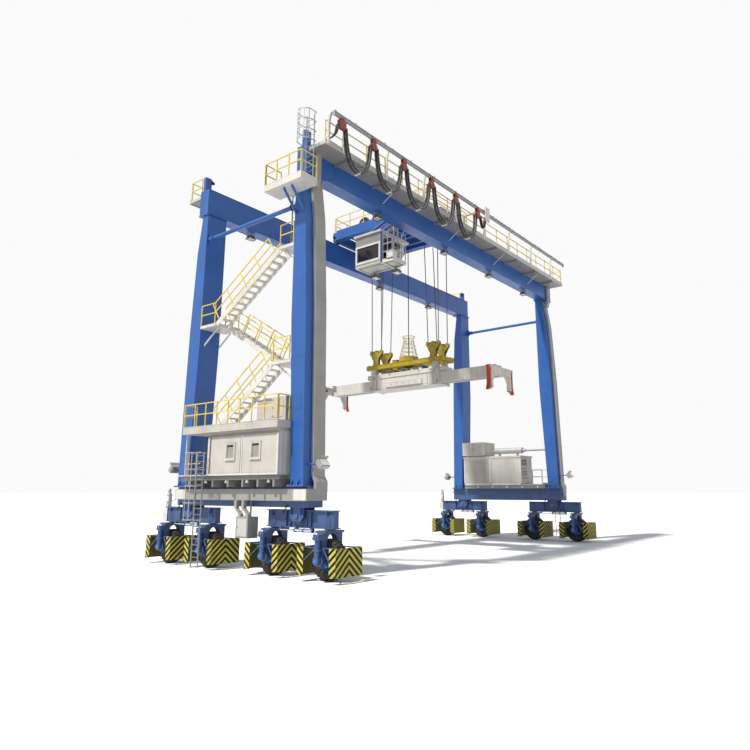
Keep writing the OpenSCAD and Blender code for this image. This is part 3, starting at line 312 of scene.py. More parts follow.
def grating(name):
    """Top of a walkway: pressed steel with a diamond grip."""
    g = Graph(name, (0.42, 0.42, 0.41), 0.55, 0.3)
    x, y = g.xyz()[:2]
    grid = g.math("MULTIPLY", g.math("SINE", g.math("MULTIPLY", g.math("ADD", x, y), 60.0)),
                  g.math("SINE", g.math("MULTIPLY", g.math("SUBTRACT", x, y), 60.0)))
    worn = g.band(g.noise(2.0, 5), 0.35, 0.7)
    g.colour(g.mix(worn, (0.30, 0.30, 0.29), (0.50, 0.50, 0.48)))
    g.bump(grid, 0.5, 0.006)
    return g.material


# Looks of the crane, by the short names that pieces and paint rules use
M = {
    "blue": paint("blue_paint", (0.024, 0.118, 0.41), 0.36, 0.25),
    "chassis": paint("chassis_blue_paint", (0.056, 0.108, 0.25), 0.5, 0.5),
    "white": paint("white_paint", (0.74, 0.71, 0.66), 0.45, 0.30),
    "house": paint("house_paint", (0.60, 0.565, 0.505), 0.5, 0.35),
    "spreader": paint("spreader_paint", (0.68, 0.645, 0.59), 0.5, 0.4),
    "pale": paint("pale_grey_paint", (0.58, 0.57, 0.54), 0.45, 0.30),
    "grey": paint("grey_paint", (0.28, 0.275, 0.26), 0.5, 0.30),
    "duct": paint("duct_grey_paint", (0.36, 0.355, 0.33), 0.5, 0.25),
    "dark_grey": paint("dark_grey_paint", (0.09, 0.09, 0.088), 0.5, 0.3),
    "yellow": paint("yellow_paint", (0.80, 0.62, 0.11), 0.42, 0.35),
    "mustard": paint("mustard_paint", (0.43, 0.32, 0.012), 0.45, 0.45),
    "olive": paint("olive_paint", (0.17, 0.165, 0.045), 0.55, 0.5),
    "red": paint("dark_red_paint", (0.27, 0.045, 0.028), 0.48, 0.45),
    "orange": paint("orange_paint", (0.52, 0.052, 0.022), 0.45, 0.4),
    "navy": paint("navy_paint", (0.015, 0.024, 0.085), 0.4, 0.3),
    "black": paint("black_paint", (0.014, 0.014, 0.015), 0.5, 0.3),
    "zinc": galvanised("galvanised_steel", (0.42, 0.43, 0.44)),
    "rail": bare_steel("rail_steel", (0.36, 0.34, 0.32), 0.32),
    "chrome": bare_steel("chromed_rod", (0.78, 0.78, 0.78), 0.12),
    "bolt": bare_steel("bolt_steel", (0.40, 0.40, 0.40), 0.35),
    "tyre": rubber("tyre_rubber", (0.022, 0.021, 0.020)),
    "cable": rubber("cable_rubber", (0.012, 0.012, 0.012), 0.5),
    "pale_cable": rubber("pale_cable", (0.30, 0.30, 0.28), 0.5),
    "rope": wire_rope("wire_rope"),
    "glass": glass("cab_glass"),
    "lens": lamp_glass("lamp_lens"),
    "grip": grating("walkway_grip"),
}


def repaint(node, first, *rules):
    """Sets a CAD node's material, and others where a rule holds at a face's centre and normal."""
    mesh = nodes_of_part[node].data
    mesh.materials.clear()
    for look in (first, *(look for look, _ in rules)):
        mesh.materials.append(M[look] if isinstance(look, str) else look)
    for face in mesh.polygons:
        face.material_index = 0
        for i, (_, holds) in enumerate(rules):
            if holds(face.center, face.normal):
                face.material_index = i + 1
                break


class Piece:
    """A joined mesh of simple solids that rides on one body; its looks are names in M."""

    def __init__(self, name, body, slot, origin=(0, 0, 0)):
        self.name, self.body, self.slot_name, self.origin = name, body, slot, origin
        self.points, self.faces, self.marks, self.materials = [], [], [], []

    def add(self, points, faces, look):
        """Adds faces in one look; the points are measured from the piece's origin."""
        material = M[look]
        if material not in self.materials:
            self.materials.append(material)
        first = len(self.points)
        self.points += [tuple(a + b for a, b in zip(p, self.origin)) for p in points]
        self.faces += [tuple(first + i for i in face) for face in faces]
        self.marks += [self.materials.index(material)] * len(faces)

    def prism(self, outline, push, look):
        """A flat outline of points pushed along a vector."""
        n = len(outline)
        top = [Vector(p) + Vector(push) for p in outline]
        sides = [(i, (i + 1) % n, n + (i + 1) % n, n + i) for i in range(n)]
        ends = [tuple(range(n))[::-1], tuple(range(n, 2 * n))]
        self.add(list(outline) + top, sides + ends, look)

    def box(self, low, high, look):
        """A box between two opposite corners, in any order."""
        (x0, x1), (y0, y1), (z0, z1) = (sorted(pair) for pair in zip(low, high))
        self.prism([(x0, y0, z0), (x1, y0, z0), (x1, y1, z0), (x0, y1, z0)], (0, 0, z1 - z0), look)

    def boxes(self, xs, ys, zs, look):
        """A box for every mix of the pairs of ends listed along X, Y and Z."""
        for pairs in product(*(v if isinstance(v[0], tuple) else [v] for v in (xs, ys, zs))):
            self.box(*zip(*pairs), look)

    def block(self, centre, size, look):
        """A box of a size round its centre."""
        self.box([c - s / 2 for c, s in zip(centre, size)], [c + s / 2 for c, s in zip(centre, size)], look)

    def tube(self, a, b, r, look, sides=12, r_end=None):
        """A rod from a to b, with another radius at b if r_end is given."""
        a, b = Vector(a), Vector(b)
        rim = circle(b - a, sides)
        end = r if r_end is None else r_end
        points = [a + p * r for p in rim] + [b + p * end for p in rim]
        walls = [(i, (i + 1) % sides, sides + (i + 1) % sides, sides + i) for i in range(sides)]
        ends = [tuple(range(sides))[::-1], tuple(range(sides, 2 * sides))]
        self.add(points, walls + ends, look)

    def bar(self, a, b, width, height, look):
        """A flat bar from a to b, its height measured towards +Z."""
        a, b = Vector(a), Vector(b)
        along = (b - a).normalized()
        side = along.cross(Vector(UP))
        side = side.normalized() if side.length > 1e-6 else Vector(ALONG_X)
        up = side.cross(along)
        corners = [side * width / 2 * i + up * height / 2 * j for i,
                   j in ((-1, -1), (1, -1), (1, 1), (-1, 1))]
        self.prism([a + c for c in corners], b - a, look)

    def lathe(self, centre, axis, profile, look, steps=48, closed=False):
        """Turns (along, radius) pairs round an axis."""
        centre, axis = Vector(centre), Vector(axis).normalized()
        n = len(profile)
        points = [centre + axis * along + out * radius for out in circle(axis, steps) for along,
                  radius in profile]
        faces = []
        for i in range(steps):
            j = (i + 1) % steps
            for k in range(n if closed else n - 1):
                m = (k + 1) % n
                faces.append((i * n + k, j * n + k, j * n + m, i * n + m))
        self.add(points, faces, look)

    def sweep(self, path, r, look, sides=8):
        """A round cord through the points of a path."""
        path = [Vector(p) for p in path]
        points, faces = [], []
        normal = None
        for i, p in enumerate(path):
            ahead = (path[min(i + 1, len(path) - 1)] - path[max(i - 1, 0)]).normalized()
            if normal is None:
                normal = across(ahead)[0]
            normal = (normal - ahead * normal.dot(ahead)).normalized()
            other = ahead.cross(normal)
            for k in range(sides):
                t = 2 * math.pi * k / sides
                points.append(p + (normal * math.cos(t) + other * math.sin(t)) * r)
        for i in range(len(path) - 1):
            for k in range(sides):
                m = (k + 1) % sides
                faces.append((i * sides + k, i * sides + m, (i + 1) * sides + m, (i + 1) * sides + k))
        faces.append(tuple(range(sides))[::-1])
        last = (len(path) - 1) * sides
        faces.append(tuple(range(last, last + sides)))
        self.add(points, faces, look)

    def hose(self, path, steps, r=0.014, look="cable", sides=8):
        """A cable bent smoothly through a few points."""
        self.sweep(curve_through(path, steps), r, look, sides)

    def bolt(self, place, axis, r, height, look="bolt"):
        """A hexagon head on its washer."""
        axis = Vector(axis).normalized()
        place = Vector(place)
        self.tube(place - axis * 0.004, place + axis * height * 0.35, r * 1.5, look, 10)
        self.tube(place, place + axis * height, r, look, 6)

    def bolts(self, xs, ys, zs, axis, r, height, look="bolt"):
        """A bolt at every mix of the places listed along X, Y and Z."""
        for place in product(*(v if isinstance(v, (tuple, list)) else [v] for v in (xs, ys, zs))):
            self.bolt(place, axis, r, height, look)

    def bolt_ring(self, centre, axis, radius, count, r, height):
        """Bolts evenly spaced on a circle."""
        for out in circle(Vector(axis), count):
            self.bolt(Vector(centre) + out * radius, axis, r, height)

    def mesh(self):
        """The piece as an object, smooth but for edges over 35 degrees."""
        data = bpy.data.meshes.new(self.name)
        data.from_pydata(self.points, [], self.faces)
        for material in self.materials:
            data.materials.append(material)
        data.polygons.foreach_set("material_index", self.marks)
        data.update()
        thing = bpy.data.objects.new(self.name, data)
        bpy.context.scene.collection.objects.link(thing)
        data.shade_smooth()
        data.set_sharp_from_angle(angle=math.radians(35))
        return thing

    def done(self, bevel=0.0):
        """The object with rounded edges, riding on its body."""
        thing = self.mesh()
        if bevel:
            rounding = thing.modifiers.new("rounding", "BEVEL")
            rounding.width = bevel
            rounding.segments = 2
            rounding.limit_method = "ANGLE"
            rounding.angle_limit = math.radians(50)
            rounding.harden_normals = True
        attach(thing, self.body)
        return thing


def across(axis):
    """Two unit vectors square to an axis and to each other."""
    axis = Vector(axis).normalized()
    helper = Vector((0, 0, 1)) if abs(axis.z) < 0.9 else Vector((1, 0, 0))
    u = axis.cross(helper).normalized()
    return u, axis.cross(u)


def circle(axis, count):
    """Unit vectors at equal angles round an axis."""
    u, v = across(axis)
    return [u * math.cos(2 * math.pi * i / count) + v * math.sin(2 * math.pi * i / count) for i in range(count)]


def spokes(count, turn=2 * math.pi):
    """Outward and sideways unit vectors round the X axis."""
    for k in range(count):
        t = turn * k / count
        yield Vector((0, math.cos(t), math.sin(t))), Vector((0, -math.sin(t), math.cos(t)))


def steps(start, step, count):
    """Places at equal distances."""
    return [start + step * k for k in range(count)]


def strips(starts, width):
    """Pairs of ends, all one width apart."""
    return [(a, a + width) for a in starts]


def around(places, half):
    """Pairs of ends at both sides of each place."""
    return [(a - half, a + half) for a in places]


def curve_through(path, parts):
    """Catmull-Rom points through a path."""
    points = [Vector(p) for p in path]
    ends = [points[0] * 2 - points[1]] + points + [points[-1] * 2 - points[-2]]
    out = []
    for i in range(1, len(ends) - 2):
        p0, p1, p2, p3 = ends[i - 1:i + 3]
        for k in range(parts):
            t = k / parts
            out.append(0.5 * ((2 * p1) + (p2 - p0) * t + (2 * p0 - 5 * p1 + 4 * p2 - p3) * t * t
                              + (3 * p1 - p0 - 3 * p2 + p3) * t ** 3))
    out.append(points[-1])
    return out


def wheel_places():
    """Name and centre of every wheel."""
    for corner, sx, sy in CORNERS:
        for row, shift in (("outer", HALF_PITCH), ("inner", -HALF_PITCH)):
            yield f"{corner}_{row}", (sx * HX, sy * (BY + shift))


PLAIN = {
    "blue": ("legs_left", "legs_right", "portal_ties"),
    "chassis": ("sill_beam_left", "sill_beam_right"),
    "zinc": ("access_ladder", "top_ladder", "plain_ladders"),
    "duct": ("cable_ducts",),
    "yellow": ("trolley_handrails",),
    "spreader": ("spreader_body", "telescope_front", "telescope_rear"),
    "orange": [f"flipper_{corner}" for corner, _, _ in CORNERS],
    "red": [f"festoon_carrier_{i}" for i in range(1, 5)],
}


def dress_structure():
    """Paints of all fixed parts; the rules pick rails, gratings, base frames and far lamps."""
    for look, names in PLAIN.items():
        for name in names:
            repaint(name, look)
    for name in ("girder_front", "girder_rear"):
        repaint(name, "blue", ("rail", lambda c, n: 0 < c.z - GIRDER_TOP < 0.14 and abs(abs(c.y) - RAIL_Y) < 0.06))
    repaint("walkways", "pale",
            ("grip", lambda c, n: n.z > 0.9 and abs(c.z - FLOOR_Z) < 0.02),
            ("grey", lambda c, n: c.z < FLOOR_Z - 0.16))
    repaint("handrails", "yellow", ("zinc", lambda c, n: c.x > 12 and c.z < 7))
    repaint("stairs", "white", ("grip", lambda c, n: n.z > 0.9))
    repaint("top_platform", "white",
            ("grip", lambda c, n: n.z > 0.9 and c.z > 18.05),
            ("blue", lambda c, n: c.z < 17.7 or (abs(n.x) > 0.1 and abs(n.z) > 0.1)))
    repaint("electric_house", "house",
            ("grey", lambda c, n: c.z < 4.34 or (c.z > 7.79 and c.y > -2.16)),
            ("grip", lambda c, n: n.z > 0.9 and abs(c.z - 6.71) < 0.05),
            ("pale", lambda c, n: abs(n.x) > 0.9 and -14.446 < c.x < -14.414 and 5.1 < c.z < 5.8))
    repaint("generator_house", "house",
            ("zinc", lambda c, n: c.z > 6.33 and abs(c.x - HX) < 0.24 and c.y < 0.95),
            ("grey", lambda c, n: c.z < 4.08))
    repaint("floodlights", "zinc", ("dark_grey", lambda c, n: 18 < c.z < GIRDER_BOTTOM - 0.16))
    repaint("festoon_track", "zinc",
            ("red", lambda c, n: -13.5 < c.x < -12.9 and c.y < -5.75 and c.z < TRACK_Z + 0.05
             and (abs(c.y - TRACK_Y) > 0.062 or c.z < TRACK_Z - 0.0005)),
            ("white", lambda c, n: abs(c.y - TRACK_Y) >= 0.07 or c.z >= TRACK_Z + 0.2005))


def dress_movers():
    """Paints of the trolley, the headblock and the bogies."""
    def from_coil(c):
        return math.hypot(c.x - HOIST_X, c.y)

    repaint("trolley_frame", "blue",
            ("rail", lambda c, n: c.z < 20.5 and abs(abs(c.y) - RAIL_Y) < 0.07 and max(abs(n.z),
                                                                                       abs(n.y)) < 0.99))
    repaint("trolley_machinery", "grey", ("grip", lambda c, n: c.z < DECK_Z + 0.04))
    repaint("hoist_drum", "dark_grey", ("chrome", lambda c, n: math.hypot(c.y - 2.0, c.z - 21.69) < 0.08))
    repaint("operator_cab", "white",
            ("black", lambda c, n: -6.06 < c.x < -5.49 and c.z < 17.8 and -2.36 < c.y < -1.74),
            ("glass", lambda c, n: -6.585 < c.x < -6.56),
            ("pale", lambda c, n: c.z > 18.37 or n.z < -0.9))
    repaint("cab_landing", "zinc",
            ("white", lambda c, n: 16.45 < c.z < 16.6 and c.y < -2.94 and c.x < -5.3 and abs(n.z) + abs(n.x) > 0.9),
            ("dark_grey", lambda c, n: c.z < 16.3))
    repaint("towing_arm", "white", ("red", lambda c, n: c.x < 0.4 or (c.z < 20.9 and c.y > -5.97)))
    repaint("headblock", "mustard",
            ("navy", lambda c, n: math.hypot(abs(c.y) - SHEAVE_Y, c.z - BLOCK_Z) < 0.386 and abs(n.x) < 0.5),
            ("cable", lambda c, n: (from_coil(c) < 0.565 and 12.0 < c.z < 12.17) or from_coil(c) < 0.04))
    for corner, _, _ in CORNERS:
        repaint(f"equaliser_{corner}", "chassis",
                ("chrome", lambda c, n: abs(c.z - 1.99) < 0.036 and abs(n.y) < 0.5),
                ("white", lambda c, n: c.y > BY + 2.0501))


def dress_forks():
    """Blue forks whose guards are striped outside and olive inside."""
    for name, (x, y) in wheel_places():
        def guard(c, n):
            wide = abs(abs(c.y - y) - GUARD_Y) < 0.0075 and abs(c.x - x) < 0.826
            wing = abs(abs(c.x - x) - 0.818) < 0.0076 and abs(c.y - y) > 0.72
            return c.z < 1.385 and (wide or wing)

        def outside(c, n):
            return guard(c, n) and (n.y * (c.y - y) > 0.5 or (abs(n.x) > 0.9 and n.x * (c.x - x) > 0))

        repaint(f"fork_{name}", "chassis", (hazard(f"hazard_bands_{name}", (x, y)), outside),
                ("olive", guard))


def stage_and_light():
    """Pale floor, white surroundings for the camera and for mirrors, one broad sun and a soft sky."""
    scene = bpy.context.scene
    scene.view_settings.view_transform = "Standard"
    floor_data = bpy.data.meshes.new("floor")
    reach = 900
    floor_data.from_pydata([(-reach, -reach, 0), (reach, -reach, 0), (reach, reach, 0), (-reach, reach, 0)],
                           [], [(0, 1, 2, 3)])
    floor = bpy.data.objects.new("floor", floor_data)
    scene.collection.objects.link(floor)
    g = Graph("pale_floor", (0.60, 0.60, 0.60), 0.9)
    rays = g.add("ShaderNodeLightPath")
    seen = g.math("MAXIMUM", rays.outputs["Is Camera Ray"], rays.outputs["Is Glossy Ray"])
    g.colour(g.mix(seen, (0.60, 0.60, 0.61), (0.97, 0.97, 0.97)))
    g.shader.inputs["Specular IOR Level"].default_value = 0.0
    floor_data.materials.append(g.material)

    world = bpy.data.worlds.new("surroundings")
    scene.world = world
    world.use_nodes = True
    tree = world.node_tree
    sky = tree.nodes["Background"]
    sky.inputs["Color"].default_value = (0.90, 0.94, 1.0, 1)
    sky.inputs["Strength"].default_value = 0.42
    white = tree.nodes.new("ShaderNodeBackground")
    white.inputs["Color"].default_value = (0.96, 0.96, 0.96, 1)
    # Camera, glossy and transmitted rays see white, all others the soft sky
    path = tree.nodes.new("ShaderNodeLightPath")
    either, glossy = (tree.nodes.new("ShaderNodeMath") for _ in range(2))
    either.operation = glossy.operation = "MAXIMUM"
    blend = tree.nodes.new("ShaderNodeMixShader")
    for output, socket in (
            (path.outputs["Is Camera Ray"], either.inputs[0]), (glossy.outputs[0], either.inputs[1]),
            (path.outputs["Is Glossy Ray"], glossy.inputs[0]),
            (path.outputs["Is Transmission Ray"], glossy.inputs[1]),
            (either.outputs[0], blend.inputs[0]), (sky.outputs[0], blend.inputs[1]),
            (white.outputs[0], blend.inputs[2]),
            (blend.outputs[0], tree.nodes["World Output"].inputs["Surface"])):
        tree.links.new(output, socket)

    sun_data = bpy.data.lights.new("key", "SUN")
    sun_data.energy = 3.9
    sun_data.angle = math.radians(3)
    sun_data.color = (1.0, 0.965, 0.91)
    sun = bpy.data.objects.new("key", sun_data)
    towards = Vector((0.53, -0.14, -0.84))
    sun.rotation_euler = towards.to_track_quat("-Z", "Y").to_euler()
    scene.collection.objects.link(sun)


def place_camera():
    """The camera that took the photograph, recovered from its vanishing lines."""
    data = bpy.data.cameras.new("camera")
    data.sensor_width = 36
    data.lens = FOCAL_PIXELS / FRAME_PIXELS * 36
    data.shift_x = (FRAME_PIXELS / 2 - CENTRE_PIXEL[0]) / FRAME_PIXELS
    data.shift_y = (CENTRE_PIXEL[1] - FRAME_PIXELS / 2) / FRAME_PIXELS
    data.clip_end = 3000
    camera = bpy.data.objects.new("camera", data)
    bpy.context.scene.collection.objects.link(camera)
    camera.location = CAMERA_PLACE
    yaw, pitch = math.radians(CAMERA_YAW), math.radians(CAMERA_PITCH)
    ahead = Vector((math.sin(yaw) * math.cos(pitch), math.cos(yaw) * math.cos(pitch), math.sin(pitch)))
    camera.rotation_euler = ahead.to_track_quat("-Z", "Y").to_euler()
    bpy.context.scene.camera = camera


place_camera()
stage_and_light()
dress_structure()
dress_movers()
dress_forks()


def make_wheel(name, centre):
    """Tyre with lugs, dished rim, wheel nuts and a hub cap, drawn round the wheel's centre."""
    piece = Piece(f"wheel_assembly_{name}", f"wheel_{name}_body", "tyre_rubber", (*centre, TYRE_R))
    half, ground = TYRE_W / 2, TYRE_R - 0.032
    mid = (0, 0, 0)

    def mirrored(profile):
        return [(-a, r) for a, r in profile]

    side = [(a - half, r) for a, r in (
        (0.085, 0.425), (0.045, 0.452), (0.018, 0.50), (0.006, 0.565), (0, 0.64), (0.006, 0.70),
        (0.020, 0.75), (0.045, 0.79), (0.085, ground - 0.008))]
    tread = [(-0.10, ground), (0.0, ground + 0.002), (0.10, ground)]
    piece.lathe(mid, ALONG_X, side + tread + mirrored(side[::-1]), "tyre", 72)
    for s, r in product(SIDES, (0.52, 0.60, 0.685)):
        piece.lathe((s * (half - 0.004), 0, 0), (s, 0, 0),
                    [(-0.008, r - 0.008), (0.004, r - 0.004), (0.004, r + 0.004), (-0.008, r + 0.008)],
                    "tyre", 72)
    # Lugs slant from both shoulders to the middle
    lugs = 30
    for i, s in product(range(lugs), SIDES):
        add_lug(piece, s, 2 * math.pi * (i + 0.25 * (s + 1)) / lugs, half, ground)
    rim = [(a - half, r) for a, r in ((0.07, 0.43), (0.060, 0.415), (0.085, 0.398), (0.16, 0.385))]
    rim += [(-0.02, 0.372), (0.0, 0.33), (-0.035, 0.22), (-0.085, 0.19), (-0.09, 0.0)]
    piece.lathe(mid, ALONG_X, rim, "blue", 64)
    back = [(half - a, r) for a, r in ((0.07, 0.43), (0.060, 0.415), (0.085, 0.398), (0.16, 0.388))]
    back += [(0.06, 0.376), (0.05, 0.32), (0.01, 0.22), (-0.03, 0.19), (-0.03, 0.0)]
    piece.lathe(mid, LEFTWARD, mirrored(back), "blue", 64)
    for reach, r, look, sides in ((0.285, 0.165, "blue", 40), (0.59, 0.079, "bolt", 28)):
        piece.tube((-reach, 0, 0), (reach, 0, 0), r, look, sides)
    for s in SIDES:
        piece.bolt_ring((s * 0.03 - 0.03, 0, 0), (s, 0, 0), 0.265, 12, 0.019, 0.045)
        piece.lathe((s * 0.286, 0, 0), (s, 0, 0), [(-0.02, 0.172), (0.012, 0.165), (0.012, 0.1)], "blue", 40)
    piece.tube((-0.12, 0, 0.36), (-0.19, 0, 0.33), 0.009, "chrome", 8)
    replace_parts(piece.done(), f"wheel_{name}")


def add_lug(piece, s, turn, half, ground):
    """One tread bar: it starts on the shoulder and ends near the middle, turned along the way."""
    outer, inner = half - 0.016, 0.018
    lean, width, parts = 0.085, 0.042, 4
    points = []
    for k in range(parts + 1):
        share = k / parts
        low = ground - 0.012 if k else 0.775
        top = TYRE_R - (0.004 if k else 0.03)
        for r, spread in ((low, 1.25), (top, 0.85)):
            for w in (-width, width):
                t = turn + lean * share + w / 2 / TYRE_R * spread
                points.append((s * (outer + (inner - outer) * share), r * math.sin(t), r * math.cos(t)))
    faces = [(0, 1, 3, 2), (16, 18, 19, 17)]
    for b in range(0, 4 * parts, 4):
        faces += [(b + 2, b + 3, b + 7, b + 6), (b, b + 2, b + 6, b + 4), (b + 1, b + 5, b + 7, b + 3)]
    piece.add(points, faces if s < 0 else [face[::-1] for face in faces], "tyre")


# Places along the festoon: fixed clamp, four carriers and the one that the trolley tows
CLAMP_X, *CARRIER_X, TOWED_X = STOPS = (-13.2, -10.8, -8.2, -5.55, -2.95, -0.35)
BRACKET_X = (-13.7, -12.65, -9.2, -5.75, -2.3, 1.15, 4.6, 8.05, 11.5)
LOOP_DROP = 1.95
LOOP_TOP = TRACK_Z - 0.42


def loop_point(xa, xb, t, drop, y):
    """A hanging loop: steep at its ends and flat at the bottom."""
    x = xa + (xb - xa) * (t - 0.085 * math.sin(2 * math.pi * t))
    return x, y, LOOP_TOP - drop * math.sin(math.pi * t) ** 0.75


def make_festoon_loop(index):
    """One loop of cables, hung between two neighbouring stops of the festoon."""
    piece = Piece(f"festoon_loop_{index + 1}", "structure", "cable_rubber")
    a, b = STOPS[index] + 0.25, STOPS[index + 1] - 0.25

    def cable(xa, xb, drop, y, r, look, sides):
        piece.sweep([loop_point(xa, xb, t / 44, drop, TRACK_Y + y) for t in range(45)], r, look, sides)

    for shift, r, look, rise in ((-0.095, 0.046, "cable", 0), (-0.028, 0.017, "pale_cable", 0.10),
                                 (0.012, 0.017, "cable", 0), (0.095, 0.050, "cable", 0)):
        cable(a, b, LOOP_DROP - 0.6 * abs(shift) - rise, shift, r, look, 10)
    cable(a + 0.05, b - 0.05, LOOP_DROP - 0.42, 0.05, 0.014, "cable", 8)
    # Spreader bars, their bolts and the clamps that keep the cables apart
    low, middle = LOOP_TOP - LOOP_DROP, (a + b) / 2
    piece.boxes((middle - 0.05, middle + 0.05), (TRACK_Y - 0.17, TRACK_Y + 0.17),
                [(low - 0.055, low - 0.03), (low + 0.03, low + 0.05)], "white")
    for y in (-0.15, -0.045, 0.045, 0.15):
        piece.tube((middle, TRACK_Y + y, low - 0.07), (middle, TRACK_Y + y, low + 0.07), 0.008, "bolt", 6)
    for t in (0.14, 0.30, 0.70, 0.86):
        piece.block(loop_point(a, b, t, LOOP_DROP, TRACK_Y), (0.10, 0.235, 0.035), "dark_grey")
    thing = piece.mesh()
    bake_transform(thing)


def make_festoon():
    """Loops, the fixed cables at both ends, and the fittings of track and carriers."""
    for i in range(5):
        make_festoon_loop(i)
    feed = Piece("festoon_feed", "structure", "cable_rubber", (CLAMP_X, TRACK_Y, LOOP_TOP))
    for k in range(4):
        y = (k - 1.5) * 0.062
        feed.hose([(-0.24, y, 0.08), (-0.30, y, -0.02), (-0.33, y + 0.01, -0.22), (-0.335, y + 0.07, -0.40),
                   (-0.34, y + 0.22, -0.53), (-0.35, y + 0.50, -0.60), (-0.36, y + 0.90, -0.61),
                   (-0.37, y + 1.45, -0.61)], 4, 0.027, sides=10)
    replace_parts(feed.done(), "festoon_cables")

    tail = Piece("festoon_tail", "trolley", "cable_rubber")
    first, last = TOWED_X + 0.24, 0.50
    for k in range(4):
        y = TRACK_Y - 0.06 + (k - 1.5) * 0.05
        tail.sweep([(first + (last - first) * t / 12, y,
                     LOOP_TOP - 0.05 - 0.62 * math.sin(math.pi * t / 12) ** 0.8)
                    for t in range(13)], 0.023, "cable", 10)
    tail.done()

    fittings = Piece("festoon_track_fittings", "structure", "galvanised", (0, TRACK_Y, TRACK_Z))
    for x in steps(-12.2, 2.32, 11):
        fittings.tube((x, -0.03, 0.20), (x, -0.03, 0.25), 0.018, "zinc", 8)
        fittings.lathe((x, -0.03, 0.265), UP, [(-0.035, 0.0), (-0.03, 0.03), (0.0, 0.045), (0.03, 0.03),
                                               (0.035, 0.0)], "pale", 12)
    fittings.boxes(strips((-13.80, 13.10), 0.03), (-0.07, 0.07), (-0.05, 0.19), "zinc")
    edge, floor = -WALK_OUT - 0.055 - TRACK_Y, FLOOR_Z - TRACK_Z
    for x, side in product(BRACKET_X, SIDES):
        face = x + side * (0.06 if x == BRACKET_X[0] else 0.035)
        fittings.bolts(face, (-0.035, 0.035), 0.228, (side, 0, 0), 0.012, 0.014)
        fittings.bolts(face, edge, steps(floor - 0.05, 0.22, 3), (side, 0, 0), 0.014, 0.016)
    fittings.done()

    for i, x in enumerate(CARRIER_X, 1):
        dress_carrier(f"carrier_fittings_{i}", f"carrier_{i}", x)
    dress_carrier("clamp_fittings", "structure", CLAMP_X, fixed=True)
    dress_carrier("towed_carrier_fittings", "trolley", TOWED_X)


def dress_carrier(name, body, x, fixed=False):
    """Rollers, bolts, buffers and the rounded saddle of a festoon carrier."""
    piece = Piece(name, body, "red_paint", (x, TRACK_Y, TRACK_Z))
    if not fixed:
        for e, s in product((-0.1, 0.1), SIDES):
            piece.lathe((e, s * 0.096, 0.061), (0, s, 0),
                        [(0, 0.034), (0.012, 0.034), (0.016, 0.028), (0.016, 0.0)], "bolt", 18)
        for e in SIDES:
            piece.lathe((e * 0.15, 0, -0.10), (e, 0, 0), [(0, 0.028), (0.05, 0.028), (0.06, 0.02), (0.06, 0)],
                        "tyre", 16)
    for s in SIDES:
        piece.bolts((-0.12, 0.12), s * 0.09, (-0.36, -0.48), (0, s, 0), 0.013, 0.014)
        piece.bolt((0, s * 0.09, -0.22), (0, s, 0), 0.013, 0.014)
        piece.block((0, s * 0.09, -0.42), (0.38, 0.012, 0.03), "red")
    piece.done(0.003)


def make_ropes():
    """Eight pairs of hoist ropes and the spreader cable, stretched between trolley and headblock."""
    piece = Piece("hoist_rope_set", "trolley", "wire_rope", (HOIST_X, 0, 0))
    sheave_r, parts = 0.4, 30

    def rope(x, low, high, r, look, sides):
        piece.sweep([(x, low + (high - low) * i / parts, BLOCK_Z + (ROPE_TOP - BLOCK_Z) * i / parts)
                     for i in range(parts + 1)], r, look, sides)

    for (sx, sy), (side, lean), dx in product(QUARTERS, ((1, 0.06), (-1, -0.23)), (-0.027, 0.027)):
        foot = SHEAVE_Y + side * sheave_r
        rope(sx * 0.52 + dx, sy * foot, sy * (foot + lean), 0.0145, "rope", 8)
    rope(0, 0, 0, 0.03, "cable", 12)
    thing = piece.mesh()
    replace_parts(thing, "hoist_ropes")
    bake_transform(thing)


FRONT_LAMPS = (-8.1, -1.35, 4.35, 9.7)
REAR_LAMPS = (-10.5, -4.6, 1.8, 8.2)


